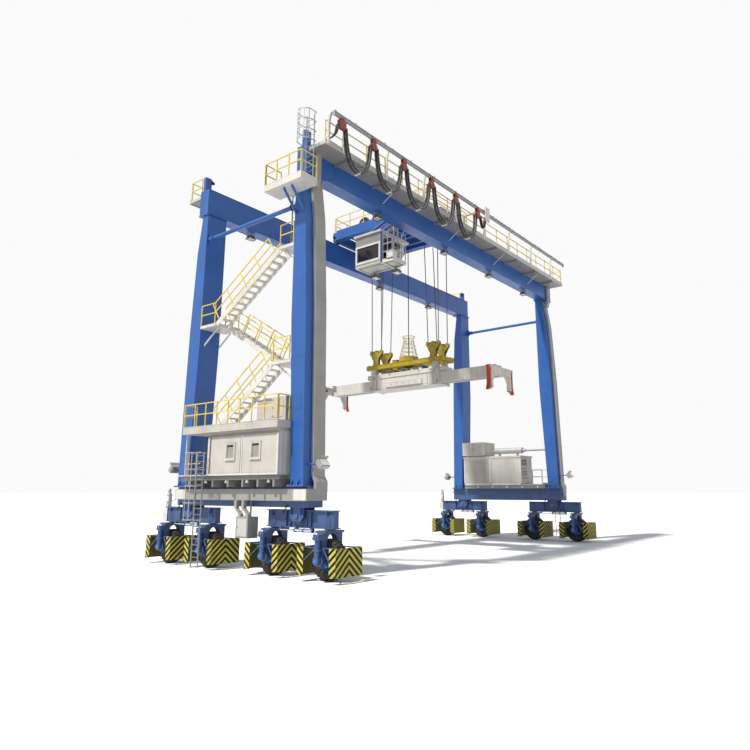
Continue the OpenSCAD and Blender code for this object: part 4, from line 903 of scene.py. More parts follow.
def make_lamps():
    """Lenses, yokes, fins, guards and struts of the lamps under the girders and on the legs."""
    piece = Piece("floodlight_fittings", "structure", "galvanised")
    for s, x in [(-1, x) for x in FRONT_LAMPS] + [(1, x) for x in REAR_LAMPS]:
        piece.origin = (x, s * GIRDER_Y, GIRDER_BOTTOM)
        piece.block((0, 0, -0.35), (0.45, 0.33, 0.008), "lens")
        for side in SIDES:
            piece.block((side * 0.262, 0, -0.185), (0.016, 0.06, 0.23), "zinc")
            piece.bolt((side * 0.27, 0, -0.26), (side, 0, 0), 0.016, 0.016)
        piece.block((0, 0, -0.074), (0.54, 0.06, 0.012), "zinc")
        guard = (-0.375, -0.352)
        piece.boxes((-0.26, 0.26), [(-0.20, -0.18), (0.18, 0.20)], guard, "dark_grey")
        piece.boxes([(-0.26, -0.24), (0.24, 0.26)], (-0.18, 0.18), guard, "dark_grey")
        piece.boxes((-0.24, 0.24), (-0.006, 0.006), guard, "dark_grey")
        piece.boxes(around(steps(-0.18, 0.045, 9), 0.006), (-0.13, 0.13), (-0.17, -0.115), "zinc")
        piece.tube((0, s * 0.37, 0.28), (0, s * 0.375, 0.29), 0.03, "zinc", 8)
        # Strut from the walkway edge down to the bracket
        piece.tube((0.15, s * (WALK_OUT - 0.3 - GIRDER_Y), FLOOR_Z - 0.17 - GIRDER_BOTTOM),
                   (0.02, s * (WALK_IN + 0.005 - GIRDER_Y), 0.45), 0.022, "white", 10)
        piece.hose([(0, s * 0.05, -0.17), (-0.1, s * 0.20, -0.13), (-0.12, s * 0.34, -0.02),
                    (-0.12, s * 0.375, 0.12)],
                   4, 0.011, sides=6)
    for sx, sy in QUARTERS:
        # Tilted lamp on an arm from the leg; a, b and c run across, outward and up
        piece.origin = (sx * HX - 0.3, sy * (4.58 + 0.85), 4.77)
        cos, sin = math.cos(math.radians(35)), math.sin(math.radians(35)) * sy

        def place(a, b, c):
            return Vector((a, b * cos - c * sin, b * sin + c * cos))

        def plate(b, depth, look, a0=-0.23, a1=0.23, c=0.16):
            piece.prism([place(a0, b, -c), place(a1, b, -c), place(a1, b, c), place(a0, b, c)],
                        place(0, b * depth, 0), look)

        face = sy * 0.118
        plate(face, 0.12, "lens")
        piece.prism([place(a, b, -0.196) for a, b in ((-0.23, -0.09), (0.23, -0.09), (0.23, 0.09),
                                                      (-0.23, 0.09))],
                    place(0, 0, -0.006), "lens")
        piece.tube((0, -sy * 0.86, 0), (0, -sy * 0.2, 0), 0.036, "blue", 12)
        piece.block((0, -sy * 0.855, 0), (0.16, 0.012, 0.16), "blue")
        for a in steps(-0.21, 0.07, 7):
            plate(-face, 0.5, "zinc", a, a + 0.012, 0.15)
        piece.prism([place(-0.28, face * 0.9, 0.19), place(0.28, face * 0.9, 0.19),
                     place(0.28, face * 2.1, 0.23), place(-0.28, face * 2.1, 0.23)], (0, 0, 0.01), "zinc")
    piece.done(0.003)


def make_tread_bars():
    """Flat bars of the gratings on the walkways, and the bars between the toe plates."""
    piece = Piece("walkway_gratings", "structure", "galvanised", (0, 0, FLOOR_Z))
    for s in SIDES:
        piece.boxes(strips(steps(-13.83, 0.1, 277), 0.006), (s * (WALK_IN + 0.01), s * (WALK_OUT - 0.05)),
                    (0, 0.012), "zinc")
        piece.boxes((-WALK_END, WALK_END), around([s * y for y in steps(WALK_IN + 0.03, 0.1, 11)], 0.003),
                    (0, 0.014), "zinc")
    piece.done()


def leg_faces(z):
    """How far the inner and the outer face of a leg stand from the middle at a height."""
    inner = LEG_IN + 0.3 * max(0.0, LEG_KNEE - z) / (LEG_KNEE - LEG_FOOT)
    for (z0, y0), (z1, y1) in zip(LEG_OUTER, LEG_OUTER[1:]):
        if z <= z1:
            return inner, y0 + (y1 - y0) * (z - z0) / (z1 - z0)
    return inner, LEG_OUTER[-1][1]


def dress_leg(piece, x, sy):
    """Foot and head bolts, stiffeners, hatches and plate seams of one leg."""
    foot, half = SILL_TOP + 0.06, 0.625
    edges = (x - 0.7, x + 0.7)
    piece.bolts(steps(x - 0.7, 0.35, 5), sy * 3.74, foot, UP, 0.026, 0.035)
    piece.bolts(edges, [sy * y for y in (*steps(LEG_FOOT, 0.2, 4), 4.63)], foot, UP, 0.026, 0.035)
    piece.bolts((x - 0.655, x + 0.655), [sy * y for y in steps(LEG_IN + 0.02, 0.2, 4)], GIRDER_BOTTOM - 0.06,
                DOWN, 0.018, 0.025)
    for side in SIDES:
        face = x + side * half
        for y in (sy * 3.95, sy * 4.35):
            piece.prism([(face, y, 3.881), (face + side * 0.14, y, 3.881), (face, y, 4.16)], (0, 0.016, 0),
                        "blue")
        piece.box((face, sy * 3.88, 7.2), (face + side * 0.012, sy * 4.28, 7.9), "blue")
        piece.bolts(face + side * 0.012, (sy * 3.915, sy * 4.245), steps(7.24, 0.207, 4), (side, 0, 0), 0.010,
                    0.010)
    for z in (6.6, 9.6, 12.6, 15.6):
        inner, outer = (sy * y for y in leg_faces(z))
        for side in SIDES:
            face = x + side * half
            piece.box((face, inner, z - 0.007), (face + side * 0.004, outer, z + 0.007), "blue")
        piece.box((x - half, inner, z - 0.007), (x + half, inner - sy * 0.004, z + 0.007), "blue")


def dress_girder(piece, s):
    """Flange edges, seams, rail clips and end bolts of one girder."""
    faces = [(s * GIRDER_Y + side * 0.37, side) for side in SIDES]
    flange = 0.028
    for z, (y, side) in product((GIRDER_BOTTOM, GIRDER_TOP - flange), faces):
        if side != s or z == GIRDER_BOTTOM:
            piece.box((-GIRDER_END, y, z), (GIRDER_END, y + side * 0.03, z + flange), "blue")
    for x in steps(-12.0, 3.0, 9):
        for y, side in faces:
            piece.box((x - 0.008, y, GIRDER_BOTTOM + 0.03), (x + 0.008, y + side * 0.005, GIRDER_TOP - 0.03),
                      "blue")
        piece.box((x - 0.008, faces[0][0], GIRDER_BOTTOM - 0.005), (x + 0.008, faces[1][0], GIRDER_BOTTOM),
                  "blue")
    for x, side in product(steps(-13.1, 0.61, 44), SIDES):
        y = s * RAIL_Y + side * 0.07
        piece.block((x, y, GIRDER_TOP + 0.018), (0.07, 0.07, 0.036), "rail")
        piece.bolt((x, y, GIRDER_TOP + 0.036), UP, 0.010, 0.014)
    for sx in SIDES:
        piece.bolts(sx * GIRDER_END, (s * GIRDER_Y - 0.31, s * GIRDER_Y + 0.31),
                    [GIRDER_BOTTOM + dz for dz in (0.12, 0.45, 0.78, 1.11, 1.38)], (sx, 0, 0), 0.018, 0.02)


def dress_sill(piece, x):
    """Caps and keepers of the pivot pins, seams and bottom plates of one sill beam."""
    for sy, side in QUARTERS:
        cap, axis = x + side * 0.38, (side, 0, 0)
        piece.lathe((cap, sy * BY, 2.56), axis, [(0, 0.105), (0.018, 0.105), (0.026, 0.095), (0.026, 0)],
                    "blue", 32)
        piece.bolt_ring((cap + side * 0.026, sy * BY, 2.56), axis, 0.07, 6, 0.011, 0.012)
        piece.boxes((x + side * 0.352, x + side * 0.43), around((sy * BY - 0.30, sy * BY + 0.30), 0.01),
                    (2.62, SILL_BOTTOM), "blue")
    for side in SIDES:
        face = x + side * 0.45
        piece.boxes((face, face + side * 0.004), around((-2.4, -0.8, 0.8, 2.4), 0.008),
                    (SILL_BOTTOM, SILL_TOP), "blue")
    piece.boxes((x - 0.22, x + 0.22), around((-1.2, 1.2), 0.22), (SILL_BOTTOM, SILL_BOTTOM + 0.001), "blue")


def make_structure_fittings():
    """Weld seams, bolted flanges and hatches of legs, girders and sills."""
    piece = Piece("structure_fittings", "structure", "blue_paint")
    for sx, sy in QUARTERS:
        dress_leg(piece, sx * HX, sy)
    for s in SIDES:
        dress_girder(piece, s)
        dress_sill(piece, s * HX)
    piece.done(0.0025)


def make_bogie_fittings():
    """Kingpin flanges, steering cylinder and levers, stiffeners and hoses of the equalisers."""
    for corner, sx, sy in CORNERS:
        piece = Piece(f"bogie_fittings_{corner}", f"bogie_{corner}", "blue_paint", (sx * HX, sy * BY, 0))
        rod_x = -0.37
        for s in SIDES:
            yy = s * HALF_PITCH
            piece.lathe((0, yy, 2.55), UP, [(0, 0.232), (0.02, 0.232), (0.03, 0.22), (0.03, 0.13),
                                            (0.045, 0.125),
                                            (0.045, 0)], "blue", 40)
            piece.bolt_ring((0, yy, 2.58), UP, 0.185, 8, 0.014, 0.018)
            piece.bolt_ring((0, yy, 2.08), UP, 0.30, 10, 0.016, 0.02)
            # Steering lever and its rod eye
            piece.tube((rod_x, s, 1.965), (rod_x, s, 2.03), 0.055, "blue", 20)
            piece.tube((rod_x, s, 1.955), (rod_x, s, 2.05), 0.026, "bolt", 14)
            for dx in (-0.2, 0.2):
                piece.prism([(dx * 0.75, s * 0.50, 2.12), (dx * 1.2, s * 0.50, 2.12),
                             (dx * 0.75, s * 0.50, 2.55)],
                            (0, 0.014, 0), "blue")
            piece.bolts(s * 0.15, steps(-0.16, 0.08, 5), 2.76, (s, 0, 0), 0.010, 0.012)
        for y in (-1.03, -0.50, 0.03):
            piece.lathe((rod_x, y, 1.99), ALONG_Y, [(-0.03, 0.075), (-0.03, 0.088), (0.03, 0.088),
                                                    (0.03, 0.075)],
                        "blue", 28)
        for y, k in ((-0.9, 1), (-0.02, -1)):
            piece.hose([(rod_x, y, 2.06), (-0.40, y + 0.05 * k, 2.17), (-0.33, y + 0.22 * k, 2.24),
                        (-0.20, y + 0.35 * k, 2.32)], 6)
        piece.done(0.003)


def make_fork_fittings():
    """Gear motor, hub, guard bolts and folded lips of every wheel fork."""
    arm_x = 0.61
    for name, centre in wheel_places():
        piece = Piece(f"drive_fittings_{name}", f"steering_{name}", "blue_paint", (*centre, 0))
        # Gear motor: ribs, flanges, brake cover and cable
        mx = -arm_x - 0.13
        for k in range(12):
            t = 2 * math.pi * k / 12
            a = Vector((mx + math.cos(t) * 0.112, math.sin(t) * 0.112, 1.31))
            piece.bar(a, a + Vector((0, 0, 0.31)), 0.012, 0.026, "blue")
        for z, r in ((1.60, 0.128), (1.235, 0.138), (0.985, 0.140)):
            piece.lathe((mx, 0, z), UP, [(-0.012, r - 0.03), (-0.012, r), (0.012, r), (0.012, r - 0.03)],
                        "blue", 32)
        piece.bolt_ring((mx, 0, 1.29), UP, 0.155, 8, 0.012, 0.014)
        piece.block((mx - 0.125, 0.02, 1.74), (0.05, 0.16, 0.17), "blue")
        piece.bolts(mx - 0.15, (-0.05, 0.09), (1.675, 1.805), LEFTWARD, 0.008, 0.008)
        piece.hose([(mx - 0.12, 0.09, 1.70), (mx - 0.10, 0.20, 1.72), (mx + 0.02, 0.24, 1.85),
                    (mx + 0.10, 0.22, 2.0)],
                   6, 0.013)
        # Planetary hub with its bolt circles and drain plug, and the bearing cap on the other side
        face = -arm_x - 0.23
        piece.lathe((face, 0, TYRE_R), LEFTWARD, [(0, 0.15), (0.018, 0.148), (0.03, 0.12), (0.034, 0.06),
                                                  (0.034, 0)],
                    "blue", 36)
        piece.bolt_ring((face - 0.012, 0, TYRE_R), LEFTWARD, 0.13, 10, 0.012, 0.016)
        piece.bolt_ring((-arm_x - 0.06, 0, TYRE_R), LEFTWARD, 0.20, 12, 0.014, 0.018)
        piece.bolt((face - 0.03, 0, TYRE_R), LEFTWARD, 0.024, 0.02)
        far = arm_x + 0.07
        piece.lathe((far, 0, TYRE_R), ALONG_X, [(0, 0.175), (0.012, 0.17), (0.02, 0.13), (0.02, 0)], "blue",
                    36)
        piece.bolt_ring((far + 0.005, 0, TYRE_R), ALONG_X, 0.15, 10, 0.012, 0.016)
        for s in SIDES:
            y = s * GUARD_Y
            piece.bolts((-0.70, -0.35, 0.35, 0.70), y + s * 0.007, 1.335, (0, s, 0), 0.012, 0.012)
            piece.box((-0.825, y, 0.25), (0.825, y - s * 0.03, 0.262), "olive")
            piece.boxes(around((-0.30, 0.30), 0.005), (y - s * 0.007, y - s * 0.04), (0.26, 1.35), "olive")
        piece.bolts((-0.45, 0.45), (-0.20, 0.20), 2.03, UP, 0.016, 0.02)
        piece.done(0.003)


def ring(a, b, r0, r1):
    """Profile of a flat ring between two places along its axis."""
    return [(a, r0), (a, r1), (b, r1), (b, r0)]


def louvres(piece, x, y0, y1, z0, z1, pitch, look, depth=0.018):
    """Slanted slats on a wall that faces -X."""
    for z in steps(z0, pitch, int((z1 - z0) / pitch)):
        piece.prism([(x, y0, z + pitch * 0.25), (x - depth, y0, z), (x - depth, y0, z + pitch * 0.18),
                     (x, y0, z + pitch * 0.85)], (0, y1 - y0, 0), look)


def frame_yz(piece, x, y0, y1, z0, z1, width, push, look):
    """A raised frame on a wall that faces X."""
    piece.boxes((x, x + push), (y0, y1), [(z0, z0 + width), (z1 - width, z1)], look)
    piece.boxes((x, x + push), [(y0, y0 + width), (y1 - width, y1)], (z0 + width, z1 - width), look)


def frame_xz(piece, y, x0, x1, z0, z1, width, push, look):
    """A raised frame on a wall that faces Y."""
    piece.boxes((x0, x1), (y, y + push), [(z0, z0 + width), (z1 - width, z1)], look)
    piece.boxes([(x0, x0 + width), (x1 - width, x1)], (y, y + push), (z0 + width, z1 - width), look)


def make_electric_house():
    """Panels, shutters, feet, door frame, roof cabinets and balcony rail of the electric house."""
    piece = Piece("electric_house_fittings", "structure", "white_paint", (-14.45, 0, 4.34))
    x1, y0, y1, top = 2.40, -3.6, 1.4, 1.91
    # Corner posts, sill and head strips, and the dark joint between the two panels
    piece.box((-0.030, y0, 0), (0, y1, 0.09), "white")
    piece.box((-0.022, y0, 0.09), (0, y1, 0.105), "grey")
    piece.box((-0.030, y0, top - 0.10), (0, y1, top), "grey")
    piece.boxes((-0.030, 0), [(y0, y0 + 0.10), (-1.16, -1.09), (1.27, 1.40)], (0.09, top - 0.10), "white")
    piece.boxes((-0.010, -0.002), strips((-1.09, 1.19), 0.06), (0.105, top - 0.10), "dark_grey")
    piece.bolts(-0.002, (-3.30, -1.32, -1.00, 1.10), (0.2, 0.75, 1.3, 1.7), LEFTWARD, 0.008, 0.006, "white")
    # Windows: outer rim, drip lips, the slats of the shutter behind the pane, and painted shadow at the top of the
    # pane
    low, high = 0.80, 1.40
    for wy in (-0.56, -2.35):
        frame_yz(piece, -0.04, wy - 0.10, wy + 0.60, low - 0.10, high + 0.10, 0.045, -0.014, "white")
        frame_yz(piece, -0.04, wy - 0.018, wy + 0.518, low - 0.018, high + 0.018, 0.018, -0.010, "white")
        piece.boxes((-0.07, -0.02), (wy - 0.12, wy + 0.62),
                    [(low - 0.115, low - 0.10), (high + 0.10, high + 0.112)],
                    "white")
        piece.boxes((0.003, 0.009), (wy + 0.01, wy + 0.49), strips(steps(low + 0.02, 0.04, 12), 0.024),
                    "duct")
        # Black band across the top of the pane: painted shadow cast by the head of the frame
        piece.box((0.002, wy + 0.005, high - 0.10), (0.009, wy + 0.495, high - 0.005), "black")
        piece.boxes((-0.001, 0.003), around((wy + 0.165, wy + 0.33), 0.005), (low, high), "pale")
    # Ridges of the roof platform's fascia, feet and ridges of the base channel
    for z, lip in ((2.05, 0.018), (2.16, 0.010), (2.28, 0.010), (2.385, 0.018)):
        piece.box((-0.2 - lip, -3.68, z), (-0.2, 3.3, z + 0.016), "white")
    for y in (-2.9, -1.45, 0.05, 1.6):
        piece.prism([(0.16, y - 0.09, -0.34), (0.16, y + 0.09, -0.34), (0.16, y + 0.035, -0.21),
                     (0.16, y - 0.035, -0.21)], (-0.07, 0, 0), "pale")
        piece.tube((0.125, y, -0.22), (0.125, y, -0.10), 0.018, "pale", 10)
    piece.boxes((0.07, 0.10), (y0 + 0.02, 3.5), strips((-0.185, -0.085, -0.015), 0.02), "grey")
    # Ribs of the end wall and the far wall, and the door frame
    piece.boxes(strips(steps(0.12, 0.27, 9), 0.03), (y0, y0 - 0.016), (0.06, top - 0.06), "white")
    piece.boxes((x1, x1 + 0.016), strips(steps(y0 + 0.15, 0.34, 14), 0.03), (0.06, top - 0.06), "white")
    frame_xz(piece, y1, 0.89, 1.86, 0.05, top - 0.07, 0.06, 0.02, "white")
    # Balcony rail
    for x in (0.03, x1 - 0.03):
        for y in (1.75, 2.35, 2.95):
            piece.tube((x, y, 0.06), (x, y, 1.15), 0.018, "yellow", 8)
        for z in (0.6, 1.15):
            piece.tube((x, 2.0, z), (x, 3.3, z), 0.018, "yellow", 8)
    # Cabinets on the roof, their cables and the fan of the cooling unit
    piece.origin = (0, 0, 0)
    frame_yz(piece, -13.75, -3.16, -2.29, 6.82, 7.86, 0.03, -0.012, "white")
    piece.box((-13.80, -2.80, 6.95), (-13.75, -2.72, 7.80), "grey")
    for z in (7.0, 7.4, 7.75):
        piece.block((-13.762, -2.33, z), (0.02, 0.05, 0.07), "bolt")
    louvres(piece, -13.60, -2.05, -1.15, 6.95, 7.65, 0.055, "white")
    frame_yz(piece, -13.60, -2.12, -1.08, 6.88, 7.72, 0.035, -0.02, "white")
    for x in (-13.3, -13.1, -12.9):
        piece.tube((x, -2.2, 6.72), (x, -2.2, 6.95), 0.03, "cable", 10)
    piece.lathe((-13.25, -1.6, 7.86), UP, ring(0, 0.05, 0.33, 0.36), "grey", 40, True)
    for r in steps(0.06, 0.06, 5):
        piece.lathe((-13.25, -1.6, 7.90), UP, ring(0.008, 0, r, r + 0.012), "dark_grey", 36, True)
    piece.bar((-13.60, -1.6, 7.91), (-12.90, -1.6, 7.91), 0.03, 0.014, "grey")
    piece.bar((-13.25, -1.95, 7.91), (-13.25, -1.25, 7.91), 0.03, 0.014, "grey")
    piece.done(0.003)


def make_generator_house():
    """Posts, louvres, door, exhaust, top cabinet and platform deck of the generator house."""
    piece = Piece("generator_house_fittings", "structure", "white_paint", (12.45, 0, 4.08))
    x1, y0, y1, top = 1.90, -1.7, 3.45, 2.14
    piece.boxes((-0.03, 0), [(y0, y0 + 0.07), (-1.28, -1.23), (0.98, 1.08), (y1 - 0.09, y1)], (0.02, top),
                "white")
    piece.boxes((-0.03, 0), (y0, y1), [(0, 0.14), (top - 0.06, top)], "white")
    for low, high in ((-1.23, 0.98), (1.08, 3.36)):
        louvres(piece, 0, low, high, 0.16, top - 0.08, 0.042, "pale", 0.016)
    piece.boxes((x1, x1 + 0.016), strips(steps(y0 + 0.2, 0.64, 8), 0.03), (0.05, top - 0.05), "white")
    # End door with dark panes above and a grille below
    frame_xz(piece, y0, 0.05, 1.10, 0.35, top - 0.05, 0.05, -0.02, "white")
    leaves, rows = strips((0.15, 0.61), 0.37), steps(0.50, 0.22, 4)
    piece.boxes(leaves, (y0 - 0.012, y0 - 0.002), strips((top - 0.62, top - 0.37), 0.20), "glass")
    piece.boxes(leaves, (y0 - 0.014, y0 - 0.002), strips(rows, 0.16), "dark_grey")
    piece.boxes(leaves, (y0 - 0.022, y0 - 0.012), strips([z + dz for z in rows for dz in (0.025, 0.075,
                                                                                          0.125)], 0.015),
                "white")
    frame_xz(piece, y0, 1.15, 1.85, 0.10, top - 0.05, 0.04, -0.016, "white")
    piece.tube((1.23, y0 - 0.05, 1.0), (1.23, y0 - 0.05, 1.18), 0.012, "bolt", 8)
    # Roof edge strip, flanges and bands of the exhaust, and its bent end
    piece.box((-0.07, y0 - 0.07, top + 0.105), (x1 + 0.07, y1 + 0.04, top + 0.125), "white")
    pipe_x, pipe_z = 0.80, top + 0.56
    for y, r in ((-1.50, 0.245), (0.90, 0.245), (-1.76, 0.135)):
        piece.lathe((pipe_x, y, pipe_z), ALONG_Y, ring(-0.012, 0.012, r - 0.06, r), "zinc", 32)
    for y in (-0.95, -0.45, 0.05, 0.55):
        piece.lathe((pipe_x, y, pipe_z), ALONG_Y, ring(-0.02, 0.02, 0.229, 0.236), "bolt", 36)
    piece.hose([(pipe_x, 0.88, pipe_z), (pipe_x, 1.10, pipe_z - 0.01), (pipe_x + 0.02, 1.22, pipe_z - 0.14),
                (pipe_x + 0.02, 1.25, pipe_z - 0.44)], 6, 0.07, "zinc", 14)
    # Top cabinet
    x0, y0, low, high = -0.10, 1.5, 2.37, 3.41
    frame_yz(piece, x0, y0, 3.5, low, high, 0.05, -0.014, "white")
    frame_xz(piece, y0, x0, 1.70, low, high, 0.05, -0.014, "white")
    piece.box((x0 - 0.03, y0 - 0.03, high - 0.01), (1.73, 3.5, high + 0.02), "white")
    piece.box((x0 - 0.008, 2.48, low + 0.05), (x0 - 0.001, 2.51, high - 0.05), "dark_grey")
    for y in (2.40, 2.59):
        piece.block((x0 - 0.015, y, low + 0.5), (0.025, 0.03, 0.12), "bolt")
    # Deck of the platform and its toe plate
    piece.boxes((0.02, 1.88), strips(steps(-3.42, 0.1, 17), 0.008), (0.06, 0.072), "zinc")
    piece.box((0, -3.46, 0), (1.90, -3.45, 0.16), "white")
    # Rims of the round holes in the skid, and white discs in them that are painted light: the bright backdrop seen
    # through the holes
    for y in (-3.0, -1.7, -0.4, 0.9, 2.2):
        # White disc in the hole: painted light standing in for the bright backdrop seen through it
        piece.tube((0.05, y, -0.13), (0.043, y, -0.13), 0.084, "white", 28)
        piece.lathe((0.04, y, -0.13), LEFTWARD, ring(0.006, -0.01, 0.086, 0.1), "grey", 28, True)
    piece.done(0.003)


def make_cab():
    """Window frames, panes, fascia, floor panels, controls and door of the operator cab."""
    piece = Piece("cab_fittings", "trolley", "white_paint", (0, 0, CAB_FLOOR))
    x0, y0, y1, top = -6.6, -2.95, -1.05, 2.0
    # Left wall: a broad white frame round the window under a grey fascia
    frame_yz(piece, x0, y0 + 0.01, y1 - 0.01, 0.17, 1.30, 0.12, -0.035, "white")
    frame_yz(piece, x0, y0 + 0.13, y1 - 0.13, 0.29, 1.18, 0.022, -0.012, "black")
    piece.box((x0 - 0.008, y0 + 0.01, 1.31), (x0, y1 - 0.01, 1.87), "grey")
    piece.box((x0 - 0.03, y0, 0), (x0, y1, 0.05), "white")
    piece.box((x0 - 0.006, y0 + 0.04, 0.06), (x0, y1 - 0.04, 0.16), "duct")
    piece.boxes((x0 - 0.014, x0 - 0.006), (y0 + 0.03, y1 - 0.03), strips((1.5, 1.68), 0.012), "duct")
    piece.tube((x0 - 0.045, -2.15, 0.33), (x0 - 0.045, -1.75, 0.95), 0.008, "black", 8)
    piece.bar((x0 - 0.045, -1.95, 0.55), (x0 - 0.045, -1.50, 1.05), 0.01, 0.02, "black")
    # Front window
    low, high = 1.12, 1.70
    piece.box((-4.356, y0 + 0.15, low), (-4.348, y1 - 0.15, high), "glass")
    frame_yz(piece, -4.35, y0 + 0.05, y1 - 0.05, low - 0.06, high + 0.08, 0.10, 0.02, "white")
    piece.boxes((-4.35, -4.335), around((-2.35, -1.65), 0.02), (low, high), "white")
    # Sloped floor window: pane and frame strips, with bars before it for the feet
    slope = Vector((0.95, 0, 1.05)).normalized()
    out = Vector((slope.z, 0, -slope.x))
    foot = Vector((-5.3, 0, 0))
    for a, b, ya, yb, thick, look in (
            (0.10, 1.30, -2.76, -1.24, 0.008, "glass"), (0.02, 0.11, -2.93, -1.07, 0.025, "white"),
            (1.29, 1.40, -2.93, -1.07, 0.025, "white"), (0.10, 1.30, -2.93, -2.75, 0.025, "white"),
            (0.10, 1.30, -1.25, -1.07, 0.025, "white"), (0.10, 1.30, -2.02, -1.98, 0.02, "white")):
        start, end = foot + slope * a + out * 0.001, foot + slope * b + out * 0.001
        piece.prism([(p.x, y, p.z) for p, y in ((start, ya), (end, ya), (end, yb), (start, yb))], out * thick,
                    look)
    for y in steps(-2.45, 0.22, 5):
        a, b = (foot + slope * s - out * 0.09 + Vector((0, y, 0)) for s in (0.12, 1.25))
        piece.tube(a, b, 0.011, "zinc", 8)
    # Window in the far wall and the door beside the landing
    piece.box((-6.38, y1 - 0.03, 0.92), (-4.62, y1 - 0.022, 1.68), "glass")
    frame_xz(piece, y1, -6.46, -4.54, 0.84, 1.76, 0.08, 0.022, "white")
    piece.box((-5.52, y1, 0.9), (-5.48, y1 + 0.018, 1.70), "white")
    frame_xz(piece, y0, -6.43, -5.47, 0.05, 1.86, 0.07, -0.02, "white")
    piece.box((-5.44, y0 - 0.045, 0.10), (-4.74, y0 - 0.012, 1.80), "white")
    piece.box((-5.34, y0 - 0.052, 0.95), (-4.84, y0 - 0.045, 1.70), "glass")
    for z in (0.35, 1.0, 1.6):
        piece.tube((-5.455, y0 - 0.03, z - 0.05), (-5.455, y0 - 0.03, z + 0.05), 0.014, "bolt", 10)
    piece.tube((-4.80, y0 - 0.09, 0.75), (-4.80, y0 - 0.09, 0.95), 0.012, "bolt", 8)
    # Blue corner posts
    piece.box((x0 - 0.025, y0 - 0.07, 0), (x0 + 0.055, y0, 1.875), "blue")
    piece.box((-5.40, y0 - 0.06, 0), (-5.34, y0, 1.875), "blue")
    # Underside of cab and landing: rims, dark ground and a pale hatch
    rim = 0.07
    for xa, xb, ya, yb in ((x0, -5.30, y0, y1), (x0 + 0.05, -5.35, -3.85, y0 - 0.005)):
        piece.boxes((xa, xb), [(ya, ya + rim), (yb - rim, yb)], (-0.05, 0), "white")
        piece.boxes([(xa, xa + rim), (xb - rim, xb)], (ya + rim, yb - rim), (-0.05, 0), "white")
        piece.box((xa + rim, ya + rim, -0.008), (xb - rim, yb - rim, -0.001), "grey")
        piece.box((xa + 0.26, ya + 0.20, -0.035), (xb - 0.24, yb - 0.20, -0.008), "pale")
        piece.bolts((xa + 0.30, xb - 0.28), (ya + 0.24, yb - 0.24), -0.035, DOWN, 0.010, 0.010)
    # Arm boxes of the seat with sticks and buttons, and a cabinet
    for y in (-2.42, -1.68):
        piece.box((-5.98, y - 0.09, 0.66), (-5.45, y + 0.09, 0.76), "dark_grey")
        piece.box((-5.90, y - 0.05, 0.09), (-5.75, y + 0.05, 0.66), "dark_grey")
        piece.tube((-5.52, y, 0.76), (-5.50, y, 0.88), 0.012, "bolt", 8)
        piece.tube((-5.50, y, 0.87), (-5.49, y, 0.93), 0.024, "black", 12, 0.014)
        for x in steps(-5.66, -0.07, 4):
            piece.tube((x, y, 0.76), (x, y, 0.772), 0.013, "red", 10)
    piece.box((-6.42, -1.45, 0.09), (-6.12, -1.15, 0.95), "pale")
    # Cooling unit on the roof and the bolts of the roof edges
    piece.box((-5.5, -2.5, top), (-4.5, -1.6, top + 0.28), "white")
    piece.boxes((-5.505, -5.498), strips(steps(-2.42, 0.12, 7), 0.06), (top + 0.05, top + 0.23), "dark_grey")
    piece.bolts((-6.66, -3.99), steps(-2.9, 0.36, 6), top, UP, 0.012, 0.012)
    piece.done(0.003)


